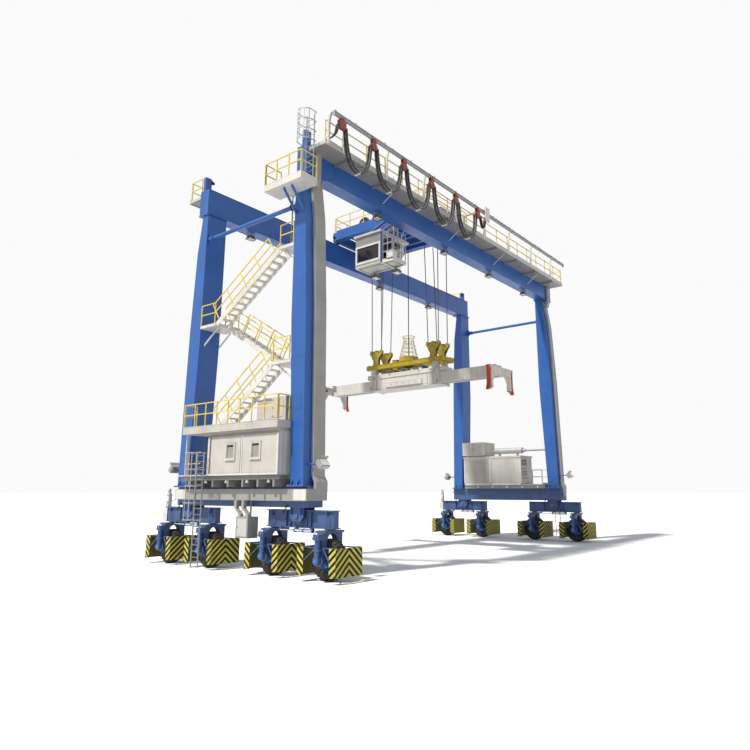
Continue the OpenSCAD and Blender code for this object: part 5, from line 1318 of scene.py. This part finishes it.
def make_cab_landing():
    """Cage of the cab ladder and of the landing, its boxes, lamps and cables."""
    piece = Piece("cab_landing_fittings", "trolley", "galvanised", (0, 0, CAB_FLOOR))
    # Ladder cage: hoops, straps and stays
    yl, low, high = -3.25, 2.25, 5.25
    for z in steps(low, 0.6, 6):
        piece.hose([(x, yl + y, z) for x, y in ((-5.75, 0), (-5.79, 0.16), (-5.74, 0.33), (-5.63, 0.42),
                                                (-5.47, 0.42),
                                                (-5.36, 0.33), (-5.31, 0.16), (-5.35, 0))], 3, 0.013, "zinc",
                                                6)
    for x, y in ((-5.775, 0.16), (-5.735, 0.33), (-5.63, 0.42), (-5.47, 0.42), (-5.365, 0.33),
                 (-5.325, 0.16)):
        piece.box((x - 0.012, yl + y - 0.005, low), (x + 0.012, yl + y + 0.005, high + 0.01), "zinc")
    for z in (0.9, 2.5, 4.1):
        piece.bar((-5.35, yl, z), (-5.05, yl + 0.02, z), 0.03, 0.012, "zinc")
    # Cage round the landing, its floor grating and toe strips
    corners = ((-6.53, -2.99), (-6.53, -3.40), (-6.53, -3.83), (-6.15, -3.83), (-5.75, -3.83), (-5.37, -3.83),
               (-5.37, -3.52))
    for place in corners:
        piece.bar((*place, 0.06), (*place, 1.77), 0.03, 0.03, "zinc")
    for z, (a, b) in product((0.62, 1.10, 1.44, 1.77), zip(corners, corners[1:])):
        piece.bar((*a, z), (*b, z), 0.026, 0.026, "zinc")
    piece.boxes(strips(steps(-6.53, 0.05, 24), 0.005), (-3.83, -2.96), (0.06, 0.072), "zinc")
    piece.box((-6.55, -3.86, 0.06), (-5.35, -3.85, 0.16), "white")
    piece.box((-5.35, -3.85, 0.06), (-5.342, -2.97, 0.16), "white")
    # Boxes on the landing and the fan cover beside them
    for x, y, w, d, h in ((-6.36, -3.58, 0.19, 0.24, 0.52), (-5.92, -3.68, 0.13, 0.11, 0.62)):
        piece.box((x - w, y - d, 0.07), (x + w, y + d, h), "white")
        piece.box((x - w - 0.012, y - d - 0.012, h), (x + w + 0.012, y + d + 0.012, h + 0.02), "pale")
        frame_yz(piece, x - w, y - d + 0.03, y + d - 0.03, 0.12, h - 0.04, 0.02, -0.008, "white")
        piece.block((x - w - 0.012, y + d - 0.07, h / 2 + 0.05), (0.02, 0.03, 0.07), "bolt")
    piece.lathe((-6.05, -3.84, 0.90), FORWARD, [(-0.05, 0.0), (-0.05, 0.16), (0.0, 0.17), (0.02, 0.16),
                                                (0.02, 0.0)],
                "dark_grey", 28)
    piece.bar((-6.05, -3.83, 0.06), (-6.05, -3.83, 0.76), 0.05, 0.05, "zinc")
    # Lamps under the floor: lens, yoke, fins, rim and cable
    for y in (-1.65, -3.25):
        piece.origin = (-5.45, y, CAB_FLOOR)
        piece.block((0, 0, -0.424), (0.42, 0.30, 0.008), "lens")
        for side in SIDES:
            piece.block((side * 0.245, 0, -0.24), (0.012, 0.06, 0.24), "zinc")
            piece.bolt((side * 0.25, 0, -0.32), (side, 0, 0), 0.016, 0.016)
        piece.block((0, 0, -0.124), (0.50, 0.06, 0.012), "zinc")
        piece.boxes(strips(steps(-0.18, 0.06, 7), 0.008), (-0.13, 0.13), (-0.242, -0.19), "zinc")
        piece.boxes((-0.25, 0.25), [(-0.19, -0.17), (0.17, 0.19)], (-0.45, -0.40), "zinc")
        piece.hose([(0, 0.1, -0.24), (0.05, 0.20, -0.18), (0.07, 0.18, -0.08), (0.07, 0.10, -0.04)], 4, 0.010,
                   sides=6)
    piece.done(0.002)


def make_trolley():
    """Machines and cabinets on the trolley deck, its wheels, buffers and toe plates."""
    piece = Piece("trolley_fittings", "trolley", "grey_paint", (0, 0, DECK_Z))
    deck = 0.03
    # Cabinet doors, handles, roofs and louvres
    for xa, xb, ya, yb, top in ((-2.6, -0.9, -2.9, -2.0, 1.0), (-0.7, 1.3, -3.3, -2.71, 0.85)):
        piece.box((xa - 0.03, ya - 0.03, top), (xb + 0.03, yb + 0.03, top + 0.025), "pale")
        piece.box((xa + 0.02, ya + 0.02, deck), (xb - 0.02, yb - 0.02, deck + 0.07), "dark_grey")
        third = (xb - xa) / 3
        for a, (y, side) in product(steps(xa + 0.02, third, 3), ((ya, -1), (yb, 1))):
            b = a + third - 0.04
            frame_xz(piece, y, a, b, deck + 0.08, top - 0.05, 0.03, side * 0.012, "pale")
            piece.block((b - 0.06, y + side * 0.02, (deck + top) / 2), (0.03, 0.03, 0.12), "bolt")
            piece.boxes((a + 0.08, b - 0.12), (y, y + side * 0.014),
                        strips(steps(top - 0.32, 0.035, 5), 0.008),
                        "dark_grey")
    # Hoist motor: fins, fan cover, terminal box and end bolts
    y, z = 1.75, 0.49
    for out, side in spokes(28):
        a, b = Vector((0.42, y, z)) + out * 0.262, Vector((0.42, y, z)) + out * 0.29
        piece.prism([a - side * 0.005, a + side * 0.005, b + side * 0.005, b - side * 0.005], (0.50, 0, 0),
                    "blue")
    piece.lathe((0.93, y, z), ALONG_X, [(0, 0.29), (0.20, 0.29), (0.23, 0.24), (0.23, 0)], "blue", 40)
    piece.lathe((0.32, y, z), ALONG_X, [(0, 0.20), (0, 0.275), (0.09, 0.275), (0.09, 0.262)], "blue", 40)
    piece.box((0.52, y - 0.13, z + 0.27), (0.80, y + 0.13, z + 0.40), "blue")
    for out, _ in spokes(10):
        piece.bolt(Vector((1.16, y, z)) + out * 0.17, ALONG_X, 0.008, 0.008)
    # Gearbox: split flange, ribs, covers and bolts
    piece.box((-0.33, 1.42, 0.47), (0.33, 2.53, 0.51), "blue")
    piece.bolts((-0.315, 0.315), (1.5, 1.72, 1.95, 2.2, 2.42), 0.51, UP, 0.014, 0.03)
    piece.lathe((-0.30, 2.0, 0.54), LEFTWARD, [(-0.01, 0.15), (0.003, 0.15), (0.003, 0.072)], "blue", 32)
    for y, z, r, side in ((1.72, 0.45, 0.10, -1), (2.33, 0.35, 0.12, -1), (2.33, 0.35, 0.12, 1),
                          (2.08, 0.45, 0.09, 1)):
        piece.lathe((side * 0.30, y, z), (side, 0, 0), [(-0.01, r), (0.03, r), (0.035, r * 0.8), (0.035, 0)],
                    "blue", 32)
    piece.boxes((-0.27, 0.27), strips((1.6, 2.1, 2.4), 0.02), (0.05, 0.45), "blue")
    piece.tube((0.1, 2.4, 0.79), (0.1, 2.4, 0.87), 0.03, "bolt", 12)
    # Bearing caps of the drum
    for x in (-2.38, -0.42):
        piece.bolts(x, (1.91, 2.09), 0.66, UP, 0.016, 0.05)
        piece.box((x - 0.10, 1.60, deck), (x + 0.10, 2.40, deck + 0.03), "grey")
        piece.bolts((x - 0.06, x + 0.06), (1.65, 2.35), deck + 0.03, UP, 0.014, 0.02)
    # Covers of the upper sheaves
    for (ya, yb), x in product(((-2.70, -2.0), (2.31, 2.70)), (HOIST_X - 0.52, HOIST_X + 0.52)):
        piece.box((x - 0.11, ya - 0.015, deck + 0.12), (x + 0.11, yb + 0.015, deck + 0.135), "grey")
        piece.bolts((x - 0.08, x + 0.08), (ya + 0.06, yb - 0.06), deck + 0.135, UP, 0.010, 0.012)
    # Toe plates round the deck, the seams of its plates, wheels and buffers
    x0, x1 = -3.3, 1.75
    piece.boxes(strips((x0 + 0.002, x1 - 0.010), 0.008), (-3.66, 3.66), (-0.011, 0.10), "blue")
    for s in SIDES:
        piece.box((x0 + 0.05, s * 3.955, -0.05), (x1 - 0.05, s * 3.947, 0.06), "blue")
        piece.boxes(around((-2.2, -0.8, 0.6), 0.005), (s * 3.96, s * 3.964), (-0.63, -0.06), "blue")
        for x, side in product((-3.05, 1.50), SIDES):
            piece.lathe((x, s * RAIL_Y + side * 0.0605, -0.564), (0, side, 0),
                        [(-0.012, 0.265), (0.010, 0.265), (0.012, 0.20), (0.012, 0.0)], "rail", 40)
        for x, d in ((x0, -1), (x1, 1)):
            piece.lathe((x, s * RAIL_Y, -0.35), (d, 0, 0),
                        [(0, 0.11), (0.012, 0.11), (0.012, 0.07), (0.10, 0.075),
                                                            (0.12, 0.06), (0.12, 0)], "tyre", 28)
    # Bolted ends of the cab hanger, pins and lugs
    for y in (-2.69, -1.31):
        for z in (-0.16, -0.45):
            piece.box((x0 - 0.03, y - 0.11, z - 0.10), (x0, y + 0.11, z + 0.11), "blue")
            piece.bolts(x0 - 0.03, (y - 0.08, y + 0.08), z + 0.06, LEFTWARD, 0.016, 0.02)
        for x in (-6.1, -4.25):
            piece.box((x - 0.14, y - 0.075, -2.531), (x + 0.14, y + 0.075, -2.51), "blue")
            piece.bolts((x - 0.12, x + 0.12), y, -2.51, UP, 0.016, 0.02)
    # Cable tray from the towing arm to the cabinets, and hoses
    piece.box((0.62, -3.62, deck), (0.78, -3.32, deck + 0.06), "zinc")
    for x in steps(0.65, 0.025, 5):
        piece.hose([(x, -3.98, 0.27), (x, -3.74, 0.21), (x, -3.64, 0.09), (x, -3.34, 0.08)], 5, 0.011,
                   sides=6)
    # Hooped gate at the head of the cab ladder
    for y in (-3.45, -3.05):
        piece.hose([(-3.28, y, 0), (-3.28, y, 0.8), (-3.22, y, 1.02), (-3.05, y, 1.08)], 5, 0.02, "yellow")
    piece.done(0.003)


def make_drum():
    """Grooved drum with its rope, spoked flanges and axle, drawn round its own centre."""
    piece = Piece("hoist_drum_set", "drum", "wire_rope", (-1.40, 2.0, 21.69))
    half, turns, wound = 0.85, 44, 12
    step = 2 * half / turns
    profile = [(-half, 0.30)]
    for i in range(turns):
        a = 2 * half * i / turns - half
        high, low = (0.380, 0.366) if i < wound or i >= turns - wound else (0.366, 0.358)
        profile += [(a + step * 0.06, low), (a + step * 0.3, high), (a + step * 0.7, high),
                    (a + step * 0.94, low)]
    piece.lathe((0, 0, 0), ALONG_X, profile + [(half, 0.30)], "rope", 56)
    for s in SIDES:
        x = s * 0.88
        piece.lathe((x, 0, 0), ALONG_X, ring(-0.03, 0.03, 0.40, 0.48), "dark_grey", 64, True)
        piece.lathe((x, 0, 0), ALONG_X, ring(-0.05, 0.05, 0.07, 0.13), "dark_grey", 32)
        piece.lathe((x - s * 0.02, 0, 0), (s, 0, 0), [(0, 0.0), (0, 0.405), (0.004, 0.405)], "black", 48)
        for out, wide in spokes(8):
            a, b = Vector((x - 0.028, 0, 0)) + out * 0.12, Vector((x - 0.028, 0, 0)) + out * 0.41
            piece.prism([a - wide * 0.022, a + wide * 0.022, b + wide * 0.022, b - wide * 0.022],
                        (0.056, 0, 0),
                        "dark_grey")
        piece.bolt_ring((x + s * 0.03, 0, 0), (s, 0, 0), 0.44, 16, 0.010, 0.012)
    piece.tube((-1.10, 0, 0), (1.095, 0, 0), 0.069, "chrome", 32)
    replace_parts(piece.done(), "hoist_drum")


def make_headblock():
    """Sheave pins and rope guards, frame plates, locks and the rim of the cable basket."""
    frame_z = 11.70
    piece = Piece("headblock_fittings", "hoist", "mustard_paint", (HOIST_X, 0, frame_z))
    axle = BLOCK_Z - frame_z
    for sx, sy in QUARTERS:
        x, y = sx * 0.52, sy * SHEAVE_Y
        for side in SIDES:
            face, axis = x + side * 0.110, (side, 0, 0)
            piece.lathe((face, y, axle), axis, [(0, 0.10), (0.018, 0.095), (0.03, 0.06), (0.03, 0)],
                        "mustard", 28)
            piece.bolt_ring((face, y, axle), axis, 0.22, 8, 0.012, 0.012)
            piece.bar((face + side * 0.012, y - 0.08, axle - 0.10),
                      (face + side * 0.012, y + 0.08, axle - 0.10),
                      0.016, 0.03, "bolt")
            piece.bolts(face, (y - 0.4, y + 0.4), axle + 0.31, axis, 0.022, 0.02)
            piece.bolts(face, (y - 0.16, y + 0.16), 0.42, axis, 0.016, 0.016)
        # Grooved rim of the sheave
        piece.lathe((x, y, axle), ALONG_X, [(-0.057, 0.30), (-0.057, 0.393), (-0.045, 0.396), (-0.016, 0.368),
                                            (0.016, 0.368), (0.045, 0.396), (0.057, 0.393), (0.057, 0.30)],
                                            "navy", 56)
        # Foot of the block on the frame, and the frame's twistlock beside it
        piece.box((x - 0.17, y - 0.27, 0.30), (x + 0.17, y + 0.27, 0.325), "mustard")
        piece.bolts((x - 0.14, x + 0.14), (y - 0.22, y, y + 0.22), 0.325, UP, 0.018, 0.025)
        for yy, e in product((y - 0.186, y + 0.174), SIDES):
            piece.prism([(x + e * 0.11, yy, 0.325), (x + e * 0.16, yy, 0.325), (x + e * 0.11, yy, 0.52)],
                        (0, 0.012, 0), "mustard")
        piece.lathe((x, sy * 2.98, 0.30), UP, [(0, 0.09), (0.02, 0.09), (0.02, 0.06), (0.07, 0.05),
                                               (0.07, 0)],
                    "mustard", 24)
    for s in SIDES:
        x = s * 0.65
        piece.boxes((x, x + s * 0.025), (-3.15, 3.15), strips((0, 0.28), 0.02), "mustard")
        piece.boxes((x, x + s * 0.010), strips(steps(-2.9, 0.483, 13), 0.012), (0.02, 0.28), "mustard")
    # Rims and bolts of the basket's can, the coil in it
    piece.lathe((0, 0, 0.63), UP, [(-0.02, 0.65), (0, 0.66), (0, 0.62), (-0.02, 0.62)], "mustard", 48)
    piece.lathe((0, 0, 0.33), UP, ring(-0.01, 0.01, 0.65, 0.68), "mustard", 48)
    piece.bolt_ring((0, 0, 0.34), UP, 0.668, 16, 0.009, 0.01)
    for r in steps(0.36, 0.035, 6):
        piece.sweep([(r * math.cos(t * math.pi / 18), r * math.sin(t * math.pi / 18),
                      0.47) for t in range(37)],
                    0.017, "cable", 6)
    # Box on the frame and its hoses
    piece.box((-0.42, 0.80, 0.30), (0.42, 1.28, 0.315), "mustard")
    piece.box((-0.20, 0.82, 0.315), (0.20, 1.25, 0.56), "mustard")
    piece.box((-0.24, 0.79, 0.56), (0.24, 1.28, 0.58), "mustard")
    for x in steps(-0.12, 0.08, 4):
        piece.hose([(x, 0.66, 0.45), (x, 0.74, 0.52), (x, 0.82, 0.45)], 4, sides=6)
    piece.done(0.002)


def make_spreader():
    """Flanges, ribs, side covers, lifting eyes, lock towers and power pack of the spreader body."""
    piece = Piece("spreader_fittings", "hoist", "white_paint", (HOIST_X, 0, 0))
    low, high, top = 10.23, 11.05, 11.34
    for s in SIDES:
        x, axis = s * 0.6, (s, 0, 0)
        for z, depth in ((low, 0.035), (high - 0.012, 0.045), (low + 0.10, 0.012)):
            piece.box((x, -2.60, z), (x + s * depth, 2.60, z + 0.016), "pale")
        piece.boxes((x, x + s * 0.03), around((-2.3, -1.9, 1.9, 2.3), 0.006), (low + 0.016, high - 0.012),
                    "pale")
        # Corner frames with bolts and sliding pad screws
        face = s * 0.68
        for y in (-2.69, 2.69):
            piece.bolts(face, (y - 0.05, y + 0.05), (10.28, 10.55, 10.85, 11.12), axis, 0.014, 0.014)
            piece.tube((face, y, 10.42), (face + s * 0.025, y, 10.42), 0.05, "dark_grey", 20)
        # Side cover: door lines and handles
        face = s * 0.685
        for y in steps(-1.45, 0.98, 3):
            frame_yz(piece, face, y, y + 0.94, 10.40, 10.70, 0.02, s * 0.008, "pale")
            piece.block((face + s * 0.014, y + 0.47, 10.55), (0.02, 0.10, 0.03), "bolt")
        # Lifting eyes at the deck edge
        for y in (-2.8, -1.2, 1.2, 2.8):
            piece.sweep([(s * 0.572, y + 0.05 * math.cos(t * math.pi / 8),
                          top - 0.08 + 0.05 * math.sin(t * math.pi / 8))
                         for t in range(17)], 0.012, "bolt", 6)
    # Lock towers under the headblock
    for y, s, side in product((-2.5, 2.5), SIDES, SIDES):
        x, face = s * 0.52, y + side * 0.16
        piece.prism([(x - 0.24, face, 11.345), (x + 0.24, face, 11.345), (x + 0.11, face, 11.68),
                     (x - 0.11, face, 11.68)], (0, side * 0.012, 0), "pale")
        piece.bolts((x - 0.16, x + 0.16), y + side * 0.172, 11.39, (0, side, 0), 0.014, 0.014)
    # Power pack, tank and boxes on the deck under the headblock
    piece.box((-0.32, 0.95, top), (0.32, 1.75, top + 0.22), "grey")
    piece.box((-0.34, 0.93, top + 0.22), (0.34, 1.77, top + 0.235), "grey")
    piece.lathe((-0.25, -1.35, top + 0.16), ALONG_X, [(0, 0), (0, 0.14), (0.42, 0.14), (0.46, 0.10),
                                                      (0.46, 0)],
                "blue", 32)
    for x in steps(-0.20, 0.03, 12):
        piece.lathe((x, -1.35, top + 0.16), ALONG_X, ring(0, 0.008, 0.14, 0.155), "blue", 32)
    for y in (-0.55, 0.1, 0.5):
        piece.box((-0.18, y - 0.14, top), (0.18, y + 0.14, top + 0.24), "pale")
        piece.box((-0.20, y - 0.16, top + 0.24), (0.20, y + 0.16, top + 0.255), "pale")
    for k, x in enumerate(steps(-0.42, 0.05, 5)):
        piece.tube((x, -2.9, top + 0.02), (x, 2.9, top + 0.02), 0.010, "cable" if k % 2 else "zinc", 8)
    piece.boxes((-0.46, -0.18), around((-2.6, -1.8, -0.9, 0.0, 0.85, 1.85, 2.6), 0.02),
                (top + 0.028, top + 0.036),
                "zinc")
    piece.done(0.003)


def make_telescope(name, s, arms):
    """Arm flanges, end beam ribs, flipper drives and twistlocks of one telescope."""
    piece = Piece(f"telescope_fittings_{name}", f"{name}_telescope", "white_paint", (HOIST_X, 0, 0))
    end, width = s * SPREADER_END, 0.22
    for a in arms:
        piece.boxes([(a, a - 0.004), (a + width, a + width + 0.004)], (s * 2.85, end),
                    strips((10.31, 11.0), 0.010),
                    "pale")
        piece.boxes((a, a + width), [(s * y, s * (y + 0.012)) for y in (3.6, 4.6, 5.6)], (10.306, 10.31),
                    "pale")
    # End beam: flanges, ribs and the drive of each flipper
    outer, inner = end + s * 0.11, end - s * 0.11
    piece.boxes((-1.20, 1.20), (outer, outer + s * 0.012), strips((10.37, 10.855), 0.015), "pale")
    piece.boxes(around((-0.9, -0.45, 0.0, 0.45, 0.9), 0.006), (outer, outer + s * 0.010), (10.385, 10.855),
                "pale")
    for e in SIDES:
        x = e * 1.13
        piece.bolts((x - 0.08, x + 0.08), end + s * 0.105, (9.72, 10.04), (0, s, 0), 0.014, 0.014)
        # Twistlock below the housing, its collar and the housing's wear plate
        piece.tube((x, end, 9.47), (x, end, 9.54), 0.030, "rail", 20)
        piece.lathe((x, end, 9.47), DOWN, [(-0.02, 0.03), (-0.012, 0.052), (0.03, 0.035), (0.05, 0.012),
                                           (0.05, 0)],
                    "rail", 24)
        piece.lathe((x, end, 9.54), DOWN, [(0, 0.055), (0.02, 0.055), (0.02, 0.03)], "rail", 24)
        piece.box((x - 0.13, end - 0.12, 9.54), (x + 0.13, end + 0.12, 9.552), "rail")
        # Flipper drive with its hose, and a guard rod
        piece.lathe((e * 1.03, inner, 10.60), (0, -s, 0), [(0, 0.09), (0.16, 0.09), (0.18, 0.06), (0.18, 0)],
                    "dark_grey", 24)
        piece.hose([(e * 1.03, inner - s * 0.10, 10.66), (e * 1.02, inner - s * 0.09, 10.84),
                    (e * 0.98, end - s * 0.06, 10.93), (e * 0.90, end, 10.86)], 5)
        piece.bar((e * 1.2, end - 0.09, 10.88), (e * 0.55, end - 0.09, 10.88), 0.02, 0.02, "zinc")
    piece.done(0.003)


def make_flippers():
    """Hinge caps and ribs of the corner flippers."""
    for corner, ex, sy in CORNERS:
        piece = Piece(f"flipper_fittings_{corner}", f"flipper_{corner}", "orange_paint",
                      (HOIST_X + ex * 1.345, sy * SPREADER_END, 0))
        for side in SIDES:
            piece.lathe((0, side * 0.125, 10.76), (0, side, 0),
                        [(0, 0.09), (0.010, 0.085), (0.014, 0.04), (0.014, 0)],
                        "bolt", 24)
            piece.boxes((-0.045, 0.045), (side * 0.12, side * 0.13), around((10.5, 10.2, 9.9), 0.006),
                        "orange")
            piece.boxes(around([-ex * 0.04], 0.008), (side * 0.12, side * 0.128), (9.82, 10.62), "orange")
        piece.done(0.002)


def make_routes():
    """Seams, clamps and cables of the ducts, the pale panels of the channel, and hoses."""
    piece = Piece("duct_fittings", "structure", "grey_paint")
    for x0, x1 in ((-13.40, -12.68), (13.05, 13.40)):
        for z in steps(4.9, 1.25, 11):
            y = -(leg_faces(z)[1] + 0.15)
            piece.box((x0, y - 0.012, z - 0.008), (x1, y + 0.003, z + 0.008), "duct")
            piece.bolts((x0 + 0.05, x1 - 0.05), y + 0.004, (z - 0.05, z + 0.05), FORWARD, 0.007, 0.008,
                        "duct")
    # Channel along the sill: lids, lips and the pale panels at its ends
    piece.boxes((-13.966, -13.955), around(steps(4.2, -1.15, 8), 0.006), (3.22, 3.72), "duct")
    piece.boxes((-13.972, -13.955), (-4.90, 4.6), strips((3.705, 3.215), 0.02), "duct")
    piece.boxes((-13.970, -13.958), [(-4.86, -4.10), (3.75, 4.55)], (3.245, 3.700), "white")
    piece.bolts(-13.969, (-4.80, -4.16), (3.30, 3.64), LEFTWARD, 0.007, 0.006)
    # Hanging cabinet: door, handle, hinges, feet and cables
    frame_yz(piece, -14.20, -1.44, -0.68, 1.60, 2.46, 0.03, -0.012, "duct")
    piece.box((-14.208, -1.40, 1.64), (-14.198, -0.72, 2.42), "pale")
    piece.block((-14.215, -0.78, 2.03), (0.02, 0.03, 0.12), "bolt")
    for z in (1.75, 2.3):
        piece.tube((-14.212, -1.44, z - 0.04), (-14.212, -1.44, z + 0.04), 0.010, "bolt", 8)
    piece.boxes((-14.16, -13.96), strips((-1.43, -0.91), 0.18), (2.50, 2.515), "duct")
    piece.tube((-13.62, -0.60, 1.62), (-13.62, -0.60, 2.93), 0.012, "cable", 8)
    piece.hose([(-13.62, -0.66, 1.9), (-13.62, -0.56, 1.5), (-13.63, -0.50, 1.9), (-13.66, -0.42, 2.5),
                (-13.68, -0.38, 2.93)], 6)
    # Clamps of the duct on the girder web
    piece.boxes((-13.46, -13.09), (-4.448, -4.440), strips((18.6, 19.1, 19.6), 0.03), "duct")
    # Hoses over each bogie pivot
    for (_, sx, sy), (k, drop) in product(CORNERS, enumerate((0.30, 0.42, 0.36))):
        piece.origin = (sx * HX - (0.47 if sx < 0 else 0.48), sy * BY + 0.45 + 0.04 * k, 3.05)
        piece.hose([(0, 0, 0), (-0.05, 0.05, -drop * 0.6), (-0.03, 0.18, -drop), (0.08, 0.30, -drop * 0.8),
                    (0.20, 0.34, -0.27)], 5, 0.013)
    # Cables from the sill to the sensor posts
    for s in SIDES:
        piece.origin = (s * HX, SILL_END, 0)
        piece.hose([(0, 0, 3.55), (0, 0.35, 3.50), (0, 0.85, 3.20), (0, 1.25, 3.12)], 6, 0.016)
        piece.block((0, 0.015, 3.55), (0.14, 0.03, 0.14), "blue")
    piece.done(0.002)


def make_sensor_posts():
    """Rings, clamps, backing plates and cables of the posts on the rear bogies."""
    for s, side in ((-1, "left"), (1, "right")):
        post = Piece(f"sensor_fittings_{side}", f"bogie_rear_{side}", "white_paint", (s * HX, BY + 2.23, 0))
        post.boxes((-0.122, 0.122), (-0.122, 0.122), strips((2.75, 3.05, 3.40), 0.03), "pale")
        for z in (3.56, 3.64):
            post.lathe((0, 0, z), UP, ring(0, 0.02, 0.09, 0.10), "dark_grey", 28)
        post.bolts((-0.15, 0.15), 0.21, (2.25, 2.55), ALONG_Y, 0.012, 0.012)
        post.box((-0.13, 0.205, 2.20), (0.13, 0.217, 2.62), "pale")
        post.hose([(-0.11, -0.05, 3.1), (-0.17, -0.08, 2.95), (-0.16, -0.05, 2.75), (-0.15, -0.02, 2.70)], 5,
                  0.012)
        post.done(0.003)


def make_platform_fittings():
    """Lips, bolts and grating bars of the platforms, and fittings of portal ties and girder ends."""
    piece = Piece("platform_fittings", "structure", "white_paint")
    x0, x1, y0, y1, z = -14.95, -13.88, -4.95, -2.40, 18.10
    for xs, ys in (((x0 - 0.006, x0), (y0, y1)), ((x0, x1), (y0 - 0.006, y0)), ((x0, x1), (y1, y1 + 0.006))):
        piece.boxes(xs, ys, strips((z - 0.35, z - 0.02), 0.018), "white")
    piece.boxes((x0 + 0.04, x1 - 0.02), strips(steps(y0 + 0.08, 0.125, 20), 0.006), (z, z + 0.012), "zinc")
    piece.boxes((-13.905, -13.876), around((-4.14, -3.60), 0.09), (16.66, 16.86), "blue")
    piece.bolts(-13.905, (-4.20, -4.08, -3.66, -3.54), (16.69, 16.83), LEFTWARD, 0.014, 0.016)
    for y0, y1, z in ((-3.57, -2.30, 9.56), (2.20, 3.50, 12.20), (-3.50, -2.50, 15.25)):
        piece.boxes((-13.88, -12.32), strips(steps(y0 + 0.05, 0.12, int((y1 - y0) / 0.12)), 0.006),
                    (z, z + 0.012),
                    "zinc")
        piece.boxes([(-13.906, -13.90), (-12.30, -12.294)], (y0, y1), strips((z - 0.15, z - 0.02), 0.02),
                    "white")
    for s, t in QUARTERS:
        # Bolts and collars of the portal ties' gussets
        x, z = s * 13.70, 17.2
        for side in SIDES:
            piece.bolts(x + side * 0.015, t * 3.44, (z - 0.22, z - 0.14, z + 0.14, z + 0.22), (side, 0, 0),
                        0.012, 0.014)
        piece.lathe((x, t * 3.08, z), ALONG_Y, ring(-0.015, 0.015, 0.11, 0.16), "blue", 32)
        # Caps and buffers on the girder ends
        x, y = s * 13.71, t * 3.98
        piece.box((x - 0.20, y - 0.12, 21.0), (x + 0.20, y + 0.12, 21.015), "blue")
        piece.boxes((x - 0.195, x + 0.195), (y - 0.115, y + 0.115), strips((20.45, 20.80), 0.012), "blue")
        piece.lathe((s * 13.52, t * 3.87, 20.80), (-s, 0, 0),
                    [(0, 0.12), (0.015, 0.12), (0.015, 0.08), (0.14, 0.085),
                                                              (0.16, 0.07), (0.16, 0)], "tyre", 28)
    piece.done(0.002)


for place in wheel_places():
    make_wheel(*place)
make_structure_fittings()
make_bogie_fittings()
make_fork_fittings()
make_electric_house()
make_generator_house()
make_festoon()
make_ropes()
make_lamps()
make_tread_bars()
make_cab()
make_cab_landing()
make_trolley()
make_drum()
make_headblock()
make_spreader()
make_telescope("front", -1, (-0.51, 0.02))
make_telescope("rear", 1, (-0.24, 0.29))
make_flippers()
make_routes()
make_sensor_posts()
make_platform_fittings()

bpy.context.view_layer.update()
